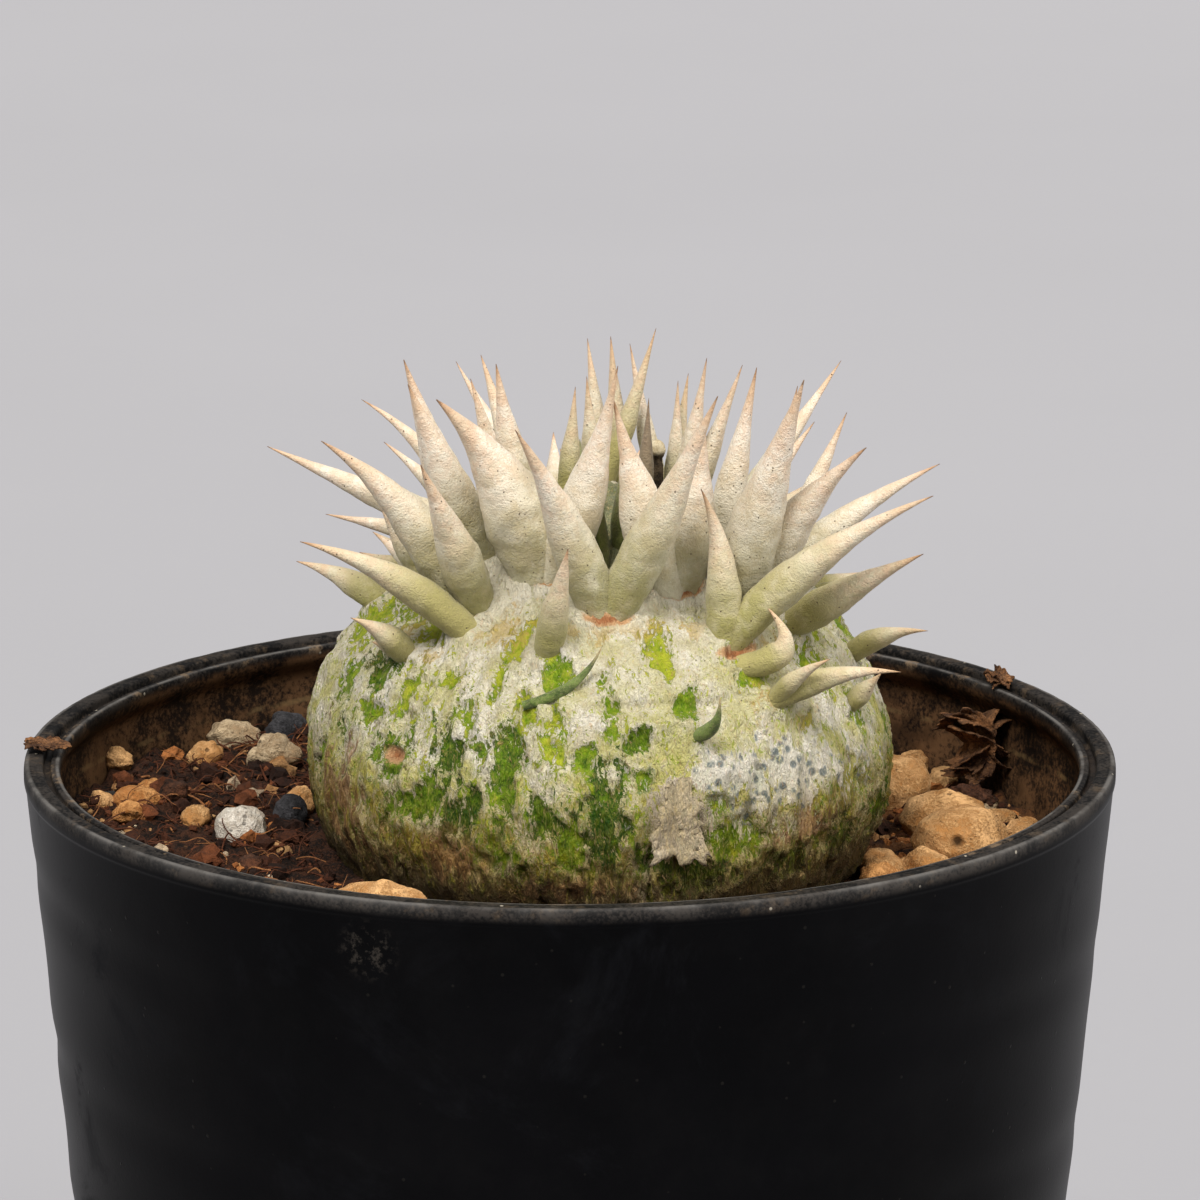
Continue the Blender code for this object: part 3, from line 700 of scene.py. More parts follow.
def buildStem():
    rows, columns, mean = stemShape["rows"], stemShape["columns"], stemShape["mean"]
    middle, down, reachOf = stemForm()
    drop = np.linspace(0.02, 2.05, rows)
    base = np.stack([np.interp(drop, down, reachOf[:, k]) for k in range(columns)], axis=1)
    turn, drop = ringTurns(rows, columns), np.repeat(drop, columns)
    out = ringPoints(np.sin(drop), turn, np.cos(drop))
    points = middle + out * base.ravel()[:, None]
    around = np.degrees(turn)
    height = points[:, 2] - soilLevel
    rho = np.hypot(points[:, 0] - stemX, points[:, 1])

    def streaks(across, along, octaves, seed):
        spread = mean * np.minimum(1, np.sin(np.minimum(drop, np.pi / 2)) * 1.3 + 0.05)
        where = (np.sin(turn) * spread / across, np.cos(turn) * spread / across,
                 mean * drop / along)
        return layeredNoise(np.stack(where, axis=1) / mm, octaves, seed) - 0.5

    def patches(rows, raggedness):
        return np.max([patchField(around, height, rho, row, raggedness) for row in rows], axis=0)

    ragged = streaks(1, 1.8, 4, 3) * 2.6 + streaks(0.5, 1, 3, 8) * 1.4
    green = np.full(len(points), -9.0)
    deep = np.zeros(len(points))
    rng = np.random.default_rng(7)
    behind = [(rng.uniform(95, 265), rng.uniform(3, 19), rng.uniform(1.4, 4.4),
               rng.uniform(2, 7), rng.uniform(0.25, 1)) for _ in range(44)]
    for patch in greenPatches + behind:
        own = patchField(around, height, rho, patch, ragged)
        closer = own > green
        green = np.where(closer, own, green)
        deep = np.where(closer, patch[4], deep)
    # small bare flecks, more of them lower down
    flecks = streaks(0.8, 2.6, 4, 31) * 2.6 - 0.62 + 0.25 * step(height, 17 * mm, 5 * mm)
    deep = np.where(flecks > green, 0.12 + 0.3 * step(height, 16 * mm, 6 * mm), deep)
    green = np.maximum(green, flecks)

    # collars and wool round the spines' feet, and the scar that each pair's leaf left
    collar, wool = np.zeros(len(points)), np.zeros(len(points))
    for foot, width in zip(spineBases, spineBaseWidths):
        gap = np.linalg.norm(points - foot, axis=1)
        swell = np.exp(-np.maximum(gap - width * 0.8, 0)**2 / (0.9 * mm)**2)
        collar = np.maximum(collar, swell * min(1, width / (1.3 * mm)))
        wool = np.maximum(wool, np.exp(-np.maximum(gap - width, 0)**2 / (1.1 * mm)**2))
    wool *= step(height, 18 * mm, 23 * mm)
    scar, scarRim = np.zeros(len(points)), np.zeros(len(points))
    for name, spines in spinesOf.items():
        if len(spines) < 2 or name.split("_")[0] not in ("upper", "middle", "lower"):
            continue
        foot = (spines[0]["line"][0] + spines[1]["line"][0]) / 2
        outward = np.array((foot[0] - stemX, foot[1], 0))
        outward /= np.linalg.norm(outward)
        off = points - foot
        flat = off @ np.cross(outward, (0, 0, 1))
        slope = (off @ outward - off[:, 2]) * 0.7
        inward = np.abs(off @ outward + off[:, 2]) * 0.7
        own = 1 - np.hypot(flat / (2.3 * mm), (slope - 1.5 * mm + flat**2 * 50) / (0.66 * mm))
        own = np.where(inward < 3 * mm, own, -9)
        scar = np.maximum(scar, own)
        scarRim = np.maximum(scarRim, np.exp(-(own / 0.22)**2))
    oldScar = patchField(around, height, rho, (-45, 11.7, 2.8, 1.5), 0)

    # a crease that runs under the shoulder at the front right, with a swelling below it
    wander = 2 * mm * streaks(9, 9, 2, 40)
    creased = step(np.abs(around - 14), 26, 12)
    lift = (
        stemShape["lumps"] * 2 * (layeredNoise(points / (8 * mm), 3, 1) - 0.5)
        + stemShape["folds"] * 2 * streaks(1.6, 9, 3, 11) * step(height, 24 * mm, 12 * mm)
        + stemShape["folds"] * (0.5 - np.abs(streaks(2.4, 6, 3, 12)) * 4)
        + stemShape["bark"] * 2 * streaks(0.7, 2.6, 3, 15)
        + stemShape["collar"] * collar
        - stemShape["peel"] * step(green, -0.05, 0.3)
        + 0.13 * mm * np.exp(-((green + 0.08) / 0.12)**2)
        - 0.12 * mm * step(scar, 0, 0.5) + 0.14 * mm * scarRim * step(scar, -0.6, -0.1)
        - 0.3 * mm * step(oldScar, 0.1, 0.6) + 0.3 * mm * np.exp(-((oldScar + 0.15) / 0.3)**2)
        - 0.55 * mm * np.exp(-((height - 16.6 * mm + wander) / (0.45 * mm))**2) * creased
        + 0.3 * mm * np.exp(-((height - 15.4 * mm + wander) / (0.7 * mm))**2) * creased
    )
    points = points + out * lift[:, None]
    crown = middle + np.array((0, 0, reachOf[0].mean()))
    points = np.concatenate([points, crown[None]])
    faces = gridFaces(rows, columns).tolist()
    faces += [[len(points) - 1, k, (k + 1) % columns] for k in range(columns)]
    fields = {
        "green": green, "deep": deep, "brown": patches(brownPatches, ragged * 1.2),
        "tan": patches(tanPatches, ragged), "freckle": patches(frecklePatches, ragged),
        "wool": wool, "scar": np.maximum(scar, oldScar * 0.9),
        "flap": patches([(15.5, 8.6, 4.2, 6.4)], ragged * 0.35), "level": height / mm,
    }
    for label, values in fields.items():
        fields[label] = np.append(np.clip(values, -2, 60), values[0])
    bark = buildBark()
    makePiece("caudex_grown", points, faces, bark, "caudex_bark", ["caudex"], **fields)
    buildFlap(bark)


def buildFlap(finish):
    # the loose flap of papery bark: a ragged sheet that stands off at its left and foot
    rows, columns = 40, 30
    u, v = sheetGrid(rows, columns)
    ragged = 0.45 + 1.1 * layeredNoise(np.stack([u * 2.2, v * 3.4, 0 * u], axis=1), 4, 400)
    around = np.radians(15 + u * ragged * 4.6 * (1 - 0.3 * v))
    height = 8.4 * mm + v * ragged * 3.3 * mm
    ways = ringPoints(1, around, 0 * around)
    tree = treeOf("caudex")
    feet = np.stack([0 * u + stemX, 0 * u, soilLevel + height], axis=1)
    out = np.array([tree.ray_cast(Vector(foot + way * 60 * mm), Vector(-way))[0]
                    for foot, way in zip(feet, ways)])
    lift = 0.5 + 0.75 * step(u, 0.1, -1) + 0.4 * step(v, -0.3, -1) + 0.35 * (ragged - 1)
    values = {"green": -2, "deep": 0, "brown": -1, "tan": -1, "freckle": -1, "wool": 0, "scar": -1,
              "flap": 1, "level": 8}
    values = {label: np.full(len(u), value) for label, value in values.items()}
    flap = makePiece("bark_flap", out + ways * (lift * mm)[:, None],
                     gridFaces(rows, columns, False), finish, "caudex_bark", **values)
    thicken(flap, "Bark thickness", 0.14 * mm)


def buildBark():
    made, tree, shader = newFinish("caudexBark", Specular_IOR_Level=0.3)
    vector, level = place(tree), field(tree, "level")
    broad = stranded(tree, 0.0008, 0.0018, 1.2)
    fine = stranded(tree, 0.0003, 0.0009, 1.0)
    hair = stranded(tree, 0.00012, 0.0007, 0.4)

    def centred(value, amount):
        return times(less(value, 0.5), amount)

    def edge(label, low, high):
        return rise(plus(field(tree, label), torn), low, high)

    rough = centred(fine["Height"], 1.4)
    torn = plus(centred(broad["Height"], 3.4), centred(fine["Height"], 2.4))
    paper = mottled(tree, paint(248, 243, 228), paint(222, 214, 186), 0.0022, 0.00022, 0.5)
    lime = times(rise(noiseMask(vector, 0.0035), 0.38, 0.62), rise(level, 22.0, 6.0, 0.35, 0.95))
    low = times(rise(level, 13.0, 5.0), rise(broad["Height"], 0.36, 0.54))
    lowTone = blend(fine["Mask"], paint(142, 128, 46), paint(104, 76, 36))
    # painted shade: the low parts of the broad bark strands are coated dark, more so lower down
    crackShade = times(rise(broad["Height"], 0.42, 0.33), rise(level, 20.0, 8.0, 0.2, 1.0))
    # bare skin, from lime to deep green, with pale threads left on it
    deep = plus(field(tree, "deep"), centred(noiseMask(vector, 0.0008), 1.5))
    skin = blend(rise(deep, 0.05, 0.6), paint(188, 196, 50), paint(112, 150, 8))
    skin = coats(skin, (rise(deep, 0.5, 1.0), None, (40, 82, 1)),
                 (hair["Mask"], 0.25, (178, 184, 70)))
    bare = edge("green", 0.02, 0.22)
    flecks = stranded(tree, 0.00045, 0.0009, 1.6)["Height"]
    fleckOn = rise(plus(flecks, rise(level, 25.0, 7.0, -0.02, 0.04)), 0.59, 0.64)
    fleckTone = blend(rise(level, 18.0, 8.0), paint(180, 190, 52), paint(112, 146, 14))
    lip = times(edge("green", -0.3, -0.02), less(1.0, bare))
    brownOn = times(edge("brown", -0.1, 0.7), less(1.0, times(bare, 0.5)))
    earth = blend(broad["Mask"], paint(192, 156, 124), paint(122, 86, 58))
    freckleOn = edge("freckle", -0.1, 0.3)
    freckles = times(specked(tree, 0.0009, 0.85, 0.46), rise(fine["Height"], 0.34, 0.46))
    flapTone = blend(fine["Mask"], paint(232, 218, 202), paint(186, 172, 154))
    colour = coats(
        paper["Colour"],
        (fine["Mask"], 0.28, (196, 190, 150)),
        (lime, None, (190, 186, 72)),
        (low, 0.85, lowTone),
        (crackShade, 0.85, (88, 72, 36)),
        (fleckOn, 0.85, fleckTone),
        (bare, None, skin),
        (lip, 0.35, (240, 236, 214)),
        (brownOn, 0.85, earth),
        (edge("tan", -0.1, 0.5), 0.6, (206, 176, 98)),
        (freckleOn, 0.75, (242, 238, 228)),
        (times(freckleOn, freckles), 0.8, (86, 108, 116)),
        (edge("flap", 0.0, 0.1), 0.8, flapTone),
    )
    # painted shade: the lower third's colour is multiplied warmer and darker
    stain = times(rise(plus(level, times(rough, 10.0)), 12.0, 4.0),
                  rise(noiseMask(vector, 0.005), 0.25, 0.55, 0.45, 1.0))
    colour = blend(stain, colour, (0.72, 0.62, 0.34), "MULTIPLY")
    # wool, the green crown between the spines, darkened there as painted shade, leaf scars, and a
    # dark brown band just above the soil
    wool, scar = field(tree, "wool"), field(tree, "scar")
    # the crown's own green, darkened as painted shade where it lies deep between the spines
    crown = times(rise(level, 24.6, 26.0), rise(wool, 0.8, 0.1))
    crownGreenAndShade = blend(fine["Mask"], paint(96, 108, 62), paint(150, 152, 104))
    scarTone = blend(rise(plus(scar, rough), 0.25, 0.8), paint(220, 176, 130), paint(180, 120, 78))
    colour = coats(
        colour,
        (rise(plus(wool, rough), 0.3, 1.0), 0.75, (236, 230, 208)),
        (crown, 0.8, crownGreenAndShade),
        (rise(plus(scar, times(rough, 0.5)), 0.0, 0.3), None, scarTone),
        # darker brown over the lowest few mm above the soil
        (rise(plus(level, times(rough, 8.0)), 5.0, 1.0), 0.85, (62, 42, 22)),
        (specked(tree, 0.0009, 0.35, 0.1), 0.7, (96, 84, 56)),
    )
    height = plus(times(fine["Height"], 1.2), hair["Height"])
    height = less(timesPlus(broad["Height"], 2.2, height), times(bare, 0.6))
    roughness = blend(bare, (0.74, 0.74, 0.74), (0.46, 0.46, 0.46))
    finishWith(shader, colour, roughness, height, 0.0003)
    return made


buildStem()
print("caudex built")


# Pot: a turned shell with a grooved rim, pressed in a little along a slow helix

potShape = {
    "wall": 1.4 * mm,
    "footRadius": 37.8 * mm,
    "rimWidth": 3 * mm,
    "lip": 1.6 * mm,
    "recess": 0.35 * mm,  # how far the rim's inner step lies under its top
    "centre": 0.02 * mm,  # the profile stops this short of the axis
    "ledge": 0.8 * mm,
    "groove": (0.6 * mm, 0.5 * mm),
    "floorLift": 3 * mm,
    "floor": 1.6 * mm,
    "steps": 288,
    "dent": 0.3 * mm,
    "dentPitch": 15 * mm,
    "drains": [(5 * mm, 0, 0)] + [(3 * mm, 24 * mm, 60 * k) for k in range(6)],
}


def outerRadius(height):
    return potShape["footRadius"] + (rimRadius - potShape["footRadius"]) * height / potHeight


def rounded(corners, cut, longest):
    # a profile with its corners rounded and its long runs divided
    corners = [np.array(c) for c in corners]
    run = [corners[0]]
    for before, corner, after in zip(corners, corners[1:], corners[2:]):
        into, away = before - corner, after - corner
        reachIn, reachOut = np.linalg.norm(into), np.linalg.norm(away)
        share = min(cut, 0.42 * reachIn, 0.42 * reachOut)
        start, end = corner + into / reachIn * share, corner + away / reachOut * share
        for k in np.linspace(0, 1, 5):
            run.append((1 - k)**2 * start + 2 * k * (1 - k) * corner + k * k * end)
    run.append(corners[-1])
    fine = [run[0]]
    for start, end in zip(run, run[1:]):
        pieces = max(1, math.ceil(np.linalg.norm(end - start) / longest))
        fine += [start + (end - start) * k / pieces for k in range(1, pieces + 1)]
    return np.array(fine)


def buildPotPlastic():
    made, tree, shader = newFinish("blackPlastic", Specular_IOR_Level=0.05)
    vector = place(tree)
    x, y, height = addNode(tree, "SeparateXYZ", {0: vector}).outputs
    flat = addNode(tree, "CombineXYZ", {0: x, 1: y, 2: 0.0}).outputs[0]
    radius = addNode(tree, "VectorMath", {0: flat}, operation="LENGTH").outputs["Value"]
    slope = (rimRadius - potShape["footRadius"]) / potHeight
    depth = less(timesPlus(height, slope, potShape["footRadius"]), radius)
    onRim = rise(height, potHeight - 1.3 * mm, potHeight - 0.5 * mm)
    inner = times(rise(depth, 0.6 * mm, 1.1 * mm), less(1.0, onRim))
    body = mottled(tree, paint(6, 6, 8), paint(3, 3, 4), 0.03, 0.0002, 0.15)
    film = useGroup(tree, dust, Amount=0.5, Size=0.012)["Mask"]
    smudge = rise(noiseMask(vector, 0.018, 6.0, 0.7, 1.5), 0.52, 0.75)
    # fine scratches and the pale rub just under the rim
    scratch = times(rise(stranded(tree, 0.0075, 0.00011, 1.2)["Height"], 0.735, 0.76),
                    rise(noiseMask(vector, 0.02, 2.0), 0.52, 0.62))
    rub = addNode(tree, "VectorMath", {0: vector, 1: (-0.0155, -0.042, potHeight - 0.0042)},
                  operation="DISTANCE").outputs["Value"]
    rubOn = times(rise(rub, 0.003, 0.0006), rise(noiseMask(vector, 0.0009, 5.0, 0.7), 0.48, 0.62))
    # soil stains and a lime line on the inner wall
    stain = mottled(tree, paint(108, 80, 56), paint(38, 30, 25), 0.0045, 0.0004, 0.8)
    washed = rise(noiseMask(vector, 0.008, 6.0, 0.65), 0.36, 0.62, 0.3, 0.95)
    wet = rise(height, potHeight - 1 * mm, potHeight - 6 * mm, 0.55, 1.0)
    line = less(timesPlus(noiseMask(vector, 0.01, 3.0), 0.0016, height), potHeight - 4.6 * mm)
    lineOn = times(times(rise(calc("ABSOLUTE", line), 0.00036, 0.00008), inner),
                   rise(noiseMask(vector, 0.0035, 5.0, 0.7), 0.42, 0.6))
    # the rim: rubbed grey, with painted highlight rings along its edges, dust and pale specks
    grey = mottled(tree, paint(58, 54, 51), paint(20, 20, 21), 0.005, 0.0003, 0.9)
    colour = coats(
        body["Colour"],
        (smudge, 0.12, (40, 42, 48)),
        (film, 0.1, (80, 78, 76)),
        (scratch, 0.35, (70, 74, 82)),
        (rubOn, 0.4, (84, 78, 72)),
        (inner, times(washed, wet), stain["Colour"]),
        (lineOn, 0.5, (126, 104, 72)),
        (onRim, 0.8, grey["Colour"]),
    )
    # painted highlight: pale rings along the rim's outer and inner edges, broken into patches
    rimHighlightPatches = rise(noiseMask(vector, 0.006, 5.0, 0.7), 0.38, 0.62, 0.25, 1.0)
    for middle, wide in ((rimRadius - 0.25 * mm, 0.3 * mm), (rimRadius - 2.75 * mm, 0.22 * mm)):
        ring = rise(calc("ABSOLUTE", less(radius, middle)), wide, wide * 0.2)
        colour = coats(colour, (times(times(ring, onRim), rimHighlightPatches), 0.55, (122, 120, 118)))
    brownDust = rise(noiseMask(vector, 0.0028, 6.0, 0.75), 0.54, 0.68)
    rimInner = times(rise(radius, rimRadius - 1.2 * mm, rimRadius - 2.4 * mm), onRim)
    dots = specked(tree, 0.0013, 0.2, 0.13)
    colour = coats(
        colour,
        (brownDust, timesPlus(rimInner, 0.5, times(onRim, 0.22)), (122, 104, 84)),
        (dots, timesPlus(onRim, 0.6, 0.012), (196, 188, 172)),
    )
    relief = plus(times(noiseMask(vector, 0.00035, 4.0, 0.7), 0.5), times(dots, 1.4))
    relief = timesPlus(stain["Grain"], inner, relief)
    gloss = plus(rise(smudge, 0.0, 1.0, 0.38, 0.55), times(calc("MAXIMUM", inner, onRim), 0.22))
    finishWith(shader, colour, gloss, relief, 0.00006, 0.35)
    return made


def buildPot():
    shape = potShape
    top, foot, lip, recess = potHeight, shape["footRadius"], shape["lip"], shape["recess"]
    ledge = rimRadius - shape["rimWidth"]
    groove = ledge + shape["ledge"]
    wide, low = shape["groove"]
    bottom = shape["floorLift"]
    floorTop = bottom + shape["floor"]
    bend = floorTop + shape["floor"]
    under = top - 3 * mm
    inner = [outerRadius(z) - shape["wall"] for z in (floorTop, bend, under)]
    corners = [
        (shape["centre"], floorTop), (inner[0] - shape["floor"], floorTop), (inner[1], bend),
        (inner[2], under), (ledge, top - lip), (ledge, top - recess),
        (groove, top - recess), (groove, top - recess - low), (groove + wide, top - recess - low),
        (groove + wide, top), (rimRadius - 0.1 * mm, top), (rimRadius, top - 0.5 * mm),
        (rimRadius, top - lip + 0.25 * mm), (outerRadius(top - lip), top - lip),
        (outerRadius(0.8 * mm), 0.8 * mm), (foot - 0.8 * mm, 0), (foot - 2.4 * mm, 0),
        (foot - 4 * mm, bottom), (shape["centre"], bottom),
    ]
    profile = rounded(corners, 0.55 * mm, 1.1 * mm)
    rows, columns = len(profile), shape["steps"]
    turn = ringTurns(rows, columns)
    radius, height = np.repeat(profile, columns, axis=0).T
    points = ringPoints(radius, turn, height)
    # dents lie on a helix, one turn to a pitch, and fade near the rim and the foot
    pitch = shape["dentPitch"]
    below = top - height - 8 * mm - pitch * (np.degrees(turn) + 90) / 360
    phase = (below / pitch + 0.5) % 1 - 0.5
    soft = layeredNoise(points / (14 * mm), 2, 50)
    wave = 0.35 * np.cos(2 * np.pi * phase) - 1.0 * np.exp(-(phase / 0.13)**2)
    wave = shape["dent"] * wave * soft * 1.6
    wave += 0.1 * mm * (layeredNoise(points / (20 * mm), 2, 60) - 0.5)
    onWall = step(height, 6 * mm, 12 * mm) * step(height, top - 4 * mm, top - 9 * mm)
    onWall *= step(radius, foot - 5 * mm, foot - 3 * mm)
    nick = (layeredNoise(points / (0.9 * mm), 3, 70) - 0.5) * 0.12 * mm
    nick *= step(height, top - 2 * mm, top)
    points += ringPoints(1, turn, 0 * turn) * (wave * onWall)[:, None]
    points[:, 2] += np.minimum(nick, 0)
    faces = gridFaces(rows, columns).tolist()
    faces += [list(range(columns))[::-1], list(range((rows - 1) * columns, rows * columns))]
    pot = makePiece("pot_moulded", points, faces, buildPotPlastic(), "black_plastic", ["pot"])
    drill = bmesh.new()
    for width, out, around in shape["drains"]:
        made = bmesh.ops.create_cone(drill, cap_ends=True, segments=40, radius1=width,
                                     radius2=width, depth=8 * floorTop)
        bmesh.ops.translate(drill, verts=made["verts"], vec=Vector(heading(around) * out))
    cutter = bpy.data.objects.new("drains", bpy.data.meshes.new("drains"))
    drill.to_mesh(cutter.data)
    drill.free()
    bpy.context.scene.collection.objects.link(cutter)
    cut = pot.modifiers.new("Drain holes", "BOOLEAN")
    cut.object = cutter
    cut.solver = "EXACT"
    bpy.context.view_layer.update()
    graph = bpy.context.evaluated_depsgraph_get()
    carved = bpy.data.meshes.new_from_object(pot.evaluated_get(graph))
    pot.modifiers.clear()
    pot.data = carved
    bpy.data.objects.remove(cutter)


buildPot()
print("pot built")


# Soil: dark peaty crumbs at the left, baked clay grains at the right

soilShape = {
    "rings": 128,
    "steps": 720,
    "crumbs": 1 * mm,
    "clods": 1.4 * mm,
    "fibres": 2600,
    "reach": 42 * mm,  # how far out loose bits are dropped
    "stemGap": 23.6 * mm,  # how near the stem's middle and how far out a bit's edge may come
    "wallGap": 42.2 * mm,
}
# Loose grains: the piece, how many, how finely each is divided, least and most width, and a seed
grainSizes = [
    ("coarse_grains", 600, 2, 0.8 * mm, 2.6 * mm, 21),
    ("fine_grains", 2300, 1, 0.35 * mm, 1 * mm, 22),
]
# What grains are made of: a light and a dark colour, and how common at the far left and right
grainTones = {
    "peat": ((72, 40, 25), (36, 20, 13), 0.6, 0.12),
    "bark": ((118, 68, 40), (70, 40, 25), 0.26, 0.1),
    "tan": ((190, 150, 104), (158, 116, 74), 0.06, 0.46),
    "ochre": ((180, 120, 68), (144, 88, 48), 0.04, 0.24),
    "pale": ((204, 188, 164), (168, 146, 120), 0.03, 0.07),
    "grey": ((74, 70, 68), (40, 38, 39), 0.01, 0.01),
}
top = np.array([v.co for v in frame["nodes"]["soil"].data.vertices])
top = top[(top[:, 2] > soilLow.z + 60 * mm)
          & (np.hypot(top[:, 0] - stemX, top[:, 1]) > 26 * mm)]
flat = np.concatenate([top[:, :2], np.ones((len(top), 1))], axis=1)
soilPlane = np.linalg.lstsq(flat, top[:, 2], rcond=None)[0]  # the CAD fill's own slight slope


def soilHeight(x, y):
    flat = np.stack([x, y, 0 * x], axis=-1)
    clod = layeredNoise(flat / (4.5 * mm), 3, 80) - 0.5
    crumb, _ = cellNoise(flat / (1.5 * mm), 81)
    fine, _ = cellNoise(flat / (0.6 * mm), 85)
    return (soilPlane[0] * x + soilPlane[1] * y + soilPlane[2] - 0.1 * mm
            + soilShape["clods"] * clod * 1.6 + soilShape["crumbs"] * (0.55 - crumb)
            + 0.25 * mm * (0.5 - fine))


def buildSoilMix():
    made, tree, shader = newFinish("pottingSoil", Specular_IOR_Level=0.25)
    vector = place(tree)
    mix = mottled(tree, paint(78, 48, 32), paint(27, 17, 12), 0.0014, 0.00025, 1.0)
    side = addNode(tree, "SeparateXYZ", {0: vector}).outputs[0]
    clay = times(rise(side, 8 * mm, 30 * mm), rise(noiseMask(vector, 0.003), 0.4, 0.6))
    colour = coats(mix["Colour"], (clay, 0.8, (132, 88, 50)),
                   (specked(tree, 0.0011, 0.22, 0.22), 0.6, (142, 98, 62)))
    height = plus(mix["Grain"], noiseMask(vector, 0.0006, 5.0, 0.75))
    finishWith(shader, colour, rise(mix["Grain"], 0.2, 0.8, 0.86, 0.98), height, 0.0006)
    return made


def buildSoil():
    rings, steps = soilShape["rings"], soilShape["steps"]
    floorTop = potShape["floorLift"] + potShape["floor"] + 0.3 * mm
    edge = outerRadius(soilPlane[2]) - potShape["wall"] - 0.25 * mm
    radius = np.repeat(np.linspace(0.2, 1, rings), steps) * edge
    points = ringPoints(radius, ringTurns(rings, steps), 0)
    points[:, 2] = soilHeight(points[:, 0], points[:, 1])
    skirts = []
    for z, gap in ((soilLow.z + 50 * mm, 0.3 * mm), (floorTop + 1.9 * mm, 0.4 * mm),
                   (floorTop, 2.3 * mm)):
        rim = points[-steps:].copy()
        rim[:, :2] *= (outerRadius(z) - potShape["wall"] - gap) / edge
        rim[:, 2] = z
        skirts.append(rim)
    points = np.concatenate([points, *skirts])
    faces = gridFaces(rings + 3, steps).tolist()
    faces += [list(range((rings + 2) * steps, (rings + 3) * steps)), list(range(steps))[::-1]]
    makePiece("soil_filled", points, faces, buildSoilMix(), "potting_soil", ["soil"])


def scatter(count, seed, least, most):
    # spots on the soil, spread evenly and clear of the stem and the wall
    rng = np.random.default_rng(seed)
    spots = []
    while len(spots) < count:
        turn, radius = rng.uniform(0, 2 * np.pi), math.sqrt(rng.uniform(0.2, 1))
        radius *= soilShape["reach"]
        x, y = radius * math.sin(turn), -radius * math.cos(turn)
        size = least + (most - least) * rng.random()**2
        clear = math.hypot(x - stemX, y) >= soilShape["stemGap"] + size * 0.6
        if clear and radius <= soilShape["wallGap"] - size:
            spots.append((x, y, size))
    return np.array(spots), rng


def buildGrains(finish):
    kinds = list(grainTones)
    for label, count, level, least, most, seed in grainSizes:
        shape, skin = ball(level)
        spots, rng = scatter(count, seed, least, most)
        parts, colours = [], []
        heights = soilHeight(spots[:, 0], spots[:, 1])
        for k, (x, y, size) in enumerate(spots):
            right = step(x, 2 * mm, 26 * mm)
            shares = np.array([grainTones[kind][2] for kind in kinds]) * (1 - right)
            shares += np.array([grainTones[kind][3] for kind in kinds]) * right
            kind = kinds[rng.choice(len(kinds), p=shares / shares.sum())]
            lump = 1 + 0.8 * (softNoise(shape * 1.4 + 9.7 * k, 90) - 0.5) + 0.9 * (
                softNoise(shape * 3.4 + 4.3 * k, 91) - 0.5)
            turned, tall = rng.uniform(0, 2 * np.pi), rng.uniform(0.55, 0.95)
            grain = shape * lump[:, None] * np.array((1, rng.uniform(0.6, 1), tall)) * size / 2
            parts.append((spun(grain, turned) + (x, y, heights[k] + size * tall * 0.22), skin))
            light, dark = (np.array(paint(*own)) for own in grainTones[kind][:2])
            own = dark + (light - dark) * rng.random()
            colours.append(np.repeat(own[None], len(shape), axis=0))
        makePiece(label, *joined(parts), finish, "potting_soil", smooth=False,
                  tint=np.concatenate(colours))


def buildGrainFinish():
    made, tree, shader = newFinish("looseGrain", Specular_IOR_Level=0.25)
    own = mottled(tree, (1.15, 1.12, 1.08), (0.6, 0.58, 0.56), 0.0007, 0.00015, 0.7)
    colour = blend(1.0, field(tree, "tint", "Color"), own["Colour"], "MULTIPLY")
    finishWith(shader, colour, rise(own["Grain"], 0.2, 0.8, 0.82, 0.97), own["Grain"], 0.00014)
    return made


def strand(start, way, length, bend, width, rng, sides=4, pieces=7):
    # one fibre as a thin bent tube
    share = np.linspace(0, 1, pieces)
    across = np.cross(way, (0, 0, 1.0))
    line = start + np.outer(share, way) * length + np.outer(share * (1 - share) * 4, across) * bend
    line[:, 2] += np.sin(share * np.pi * rng.uniform(0.6, 1.6)) * length * rng.uniform(0.02, 0.25)
    turn = np.arange(sides) * 2 * np.pi / sides
    ring = np.stack([np.cos(turn), np.sin(turn) * 0.7, np.sin(turn)], axis=1)
    taper = width * (1 - 0.6 * share)
    points = (line[:, None] + ring[None] * taper[:, None, None]).reshape(-1, 3)
    return points, gridFaces(pieces, sides)


def buildFibres(finish):
    spots, rng = scatter(soilShape["fibres"], 33, 0.4 * mm, 0.6 * mm)
    parts, colours = [], []
    heights = soilHeight(spots[:, 0], spots[:, 1])
    for (x, y, _), height in zip(spots, heights):
        if x > 4 * mm and rng.random() < 0.8:
            continue
        turn = rng.uniform(0, 360)
        way = heading(turn, rng.uniform(-8, 30))
        length = rng.uniform(0.8, 3.6) * mm
        made, skin = strand(np.array((x, y, height + 0.1 * mm)), way, length,
                            rng.uniform(-0.35, 0.35) * length, rng.uniform(0.03, 0.11) * mm, rng)
        fromStem = np.hypot(made[:, 0] - stemX, made[:, 1]).min()
        if np.hypot(made[:, 0], made[:, 1]).max() > 42.5 * mm or fromStem < 23.2 * mm:
            continue
        parts.append((made, skin))
        own = np.array(paint(*((150, 102, 64) if rng.random() < 0.25 else (88, 50, 32))))
        colours.append(np.repeat(own[None], len(made), axis=0))
    makePiece("coir_fibres", *joined(parts), finish, "potting_soil", tint=np.concatenate(colours))


buildSoil()
grainFinish = buildGrainFinish()
buildGrains(grainFinish)
buildFibres(grainFinish)
print("soil, grains and fibres laid")


# Larger stones and bark, each grown from its CAD solid's own form

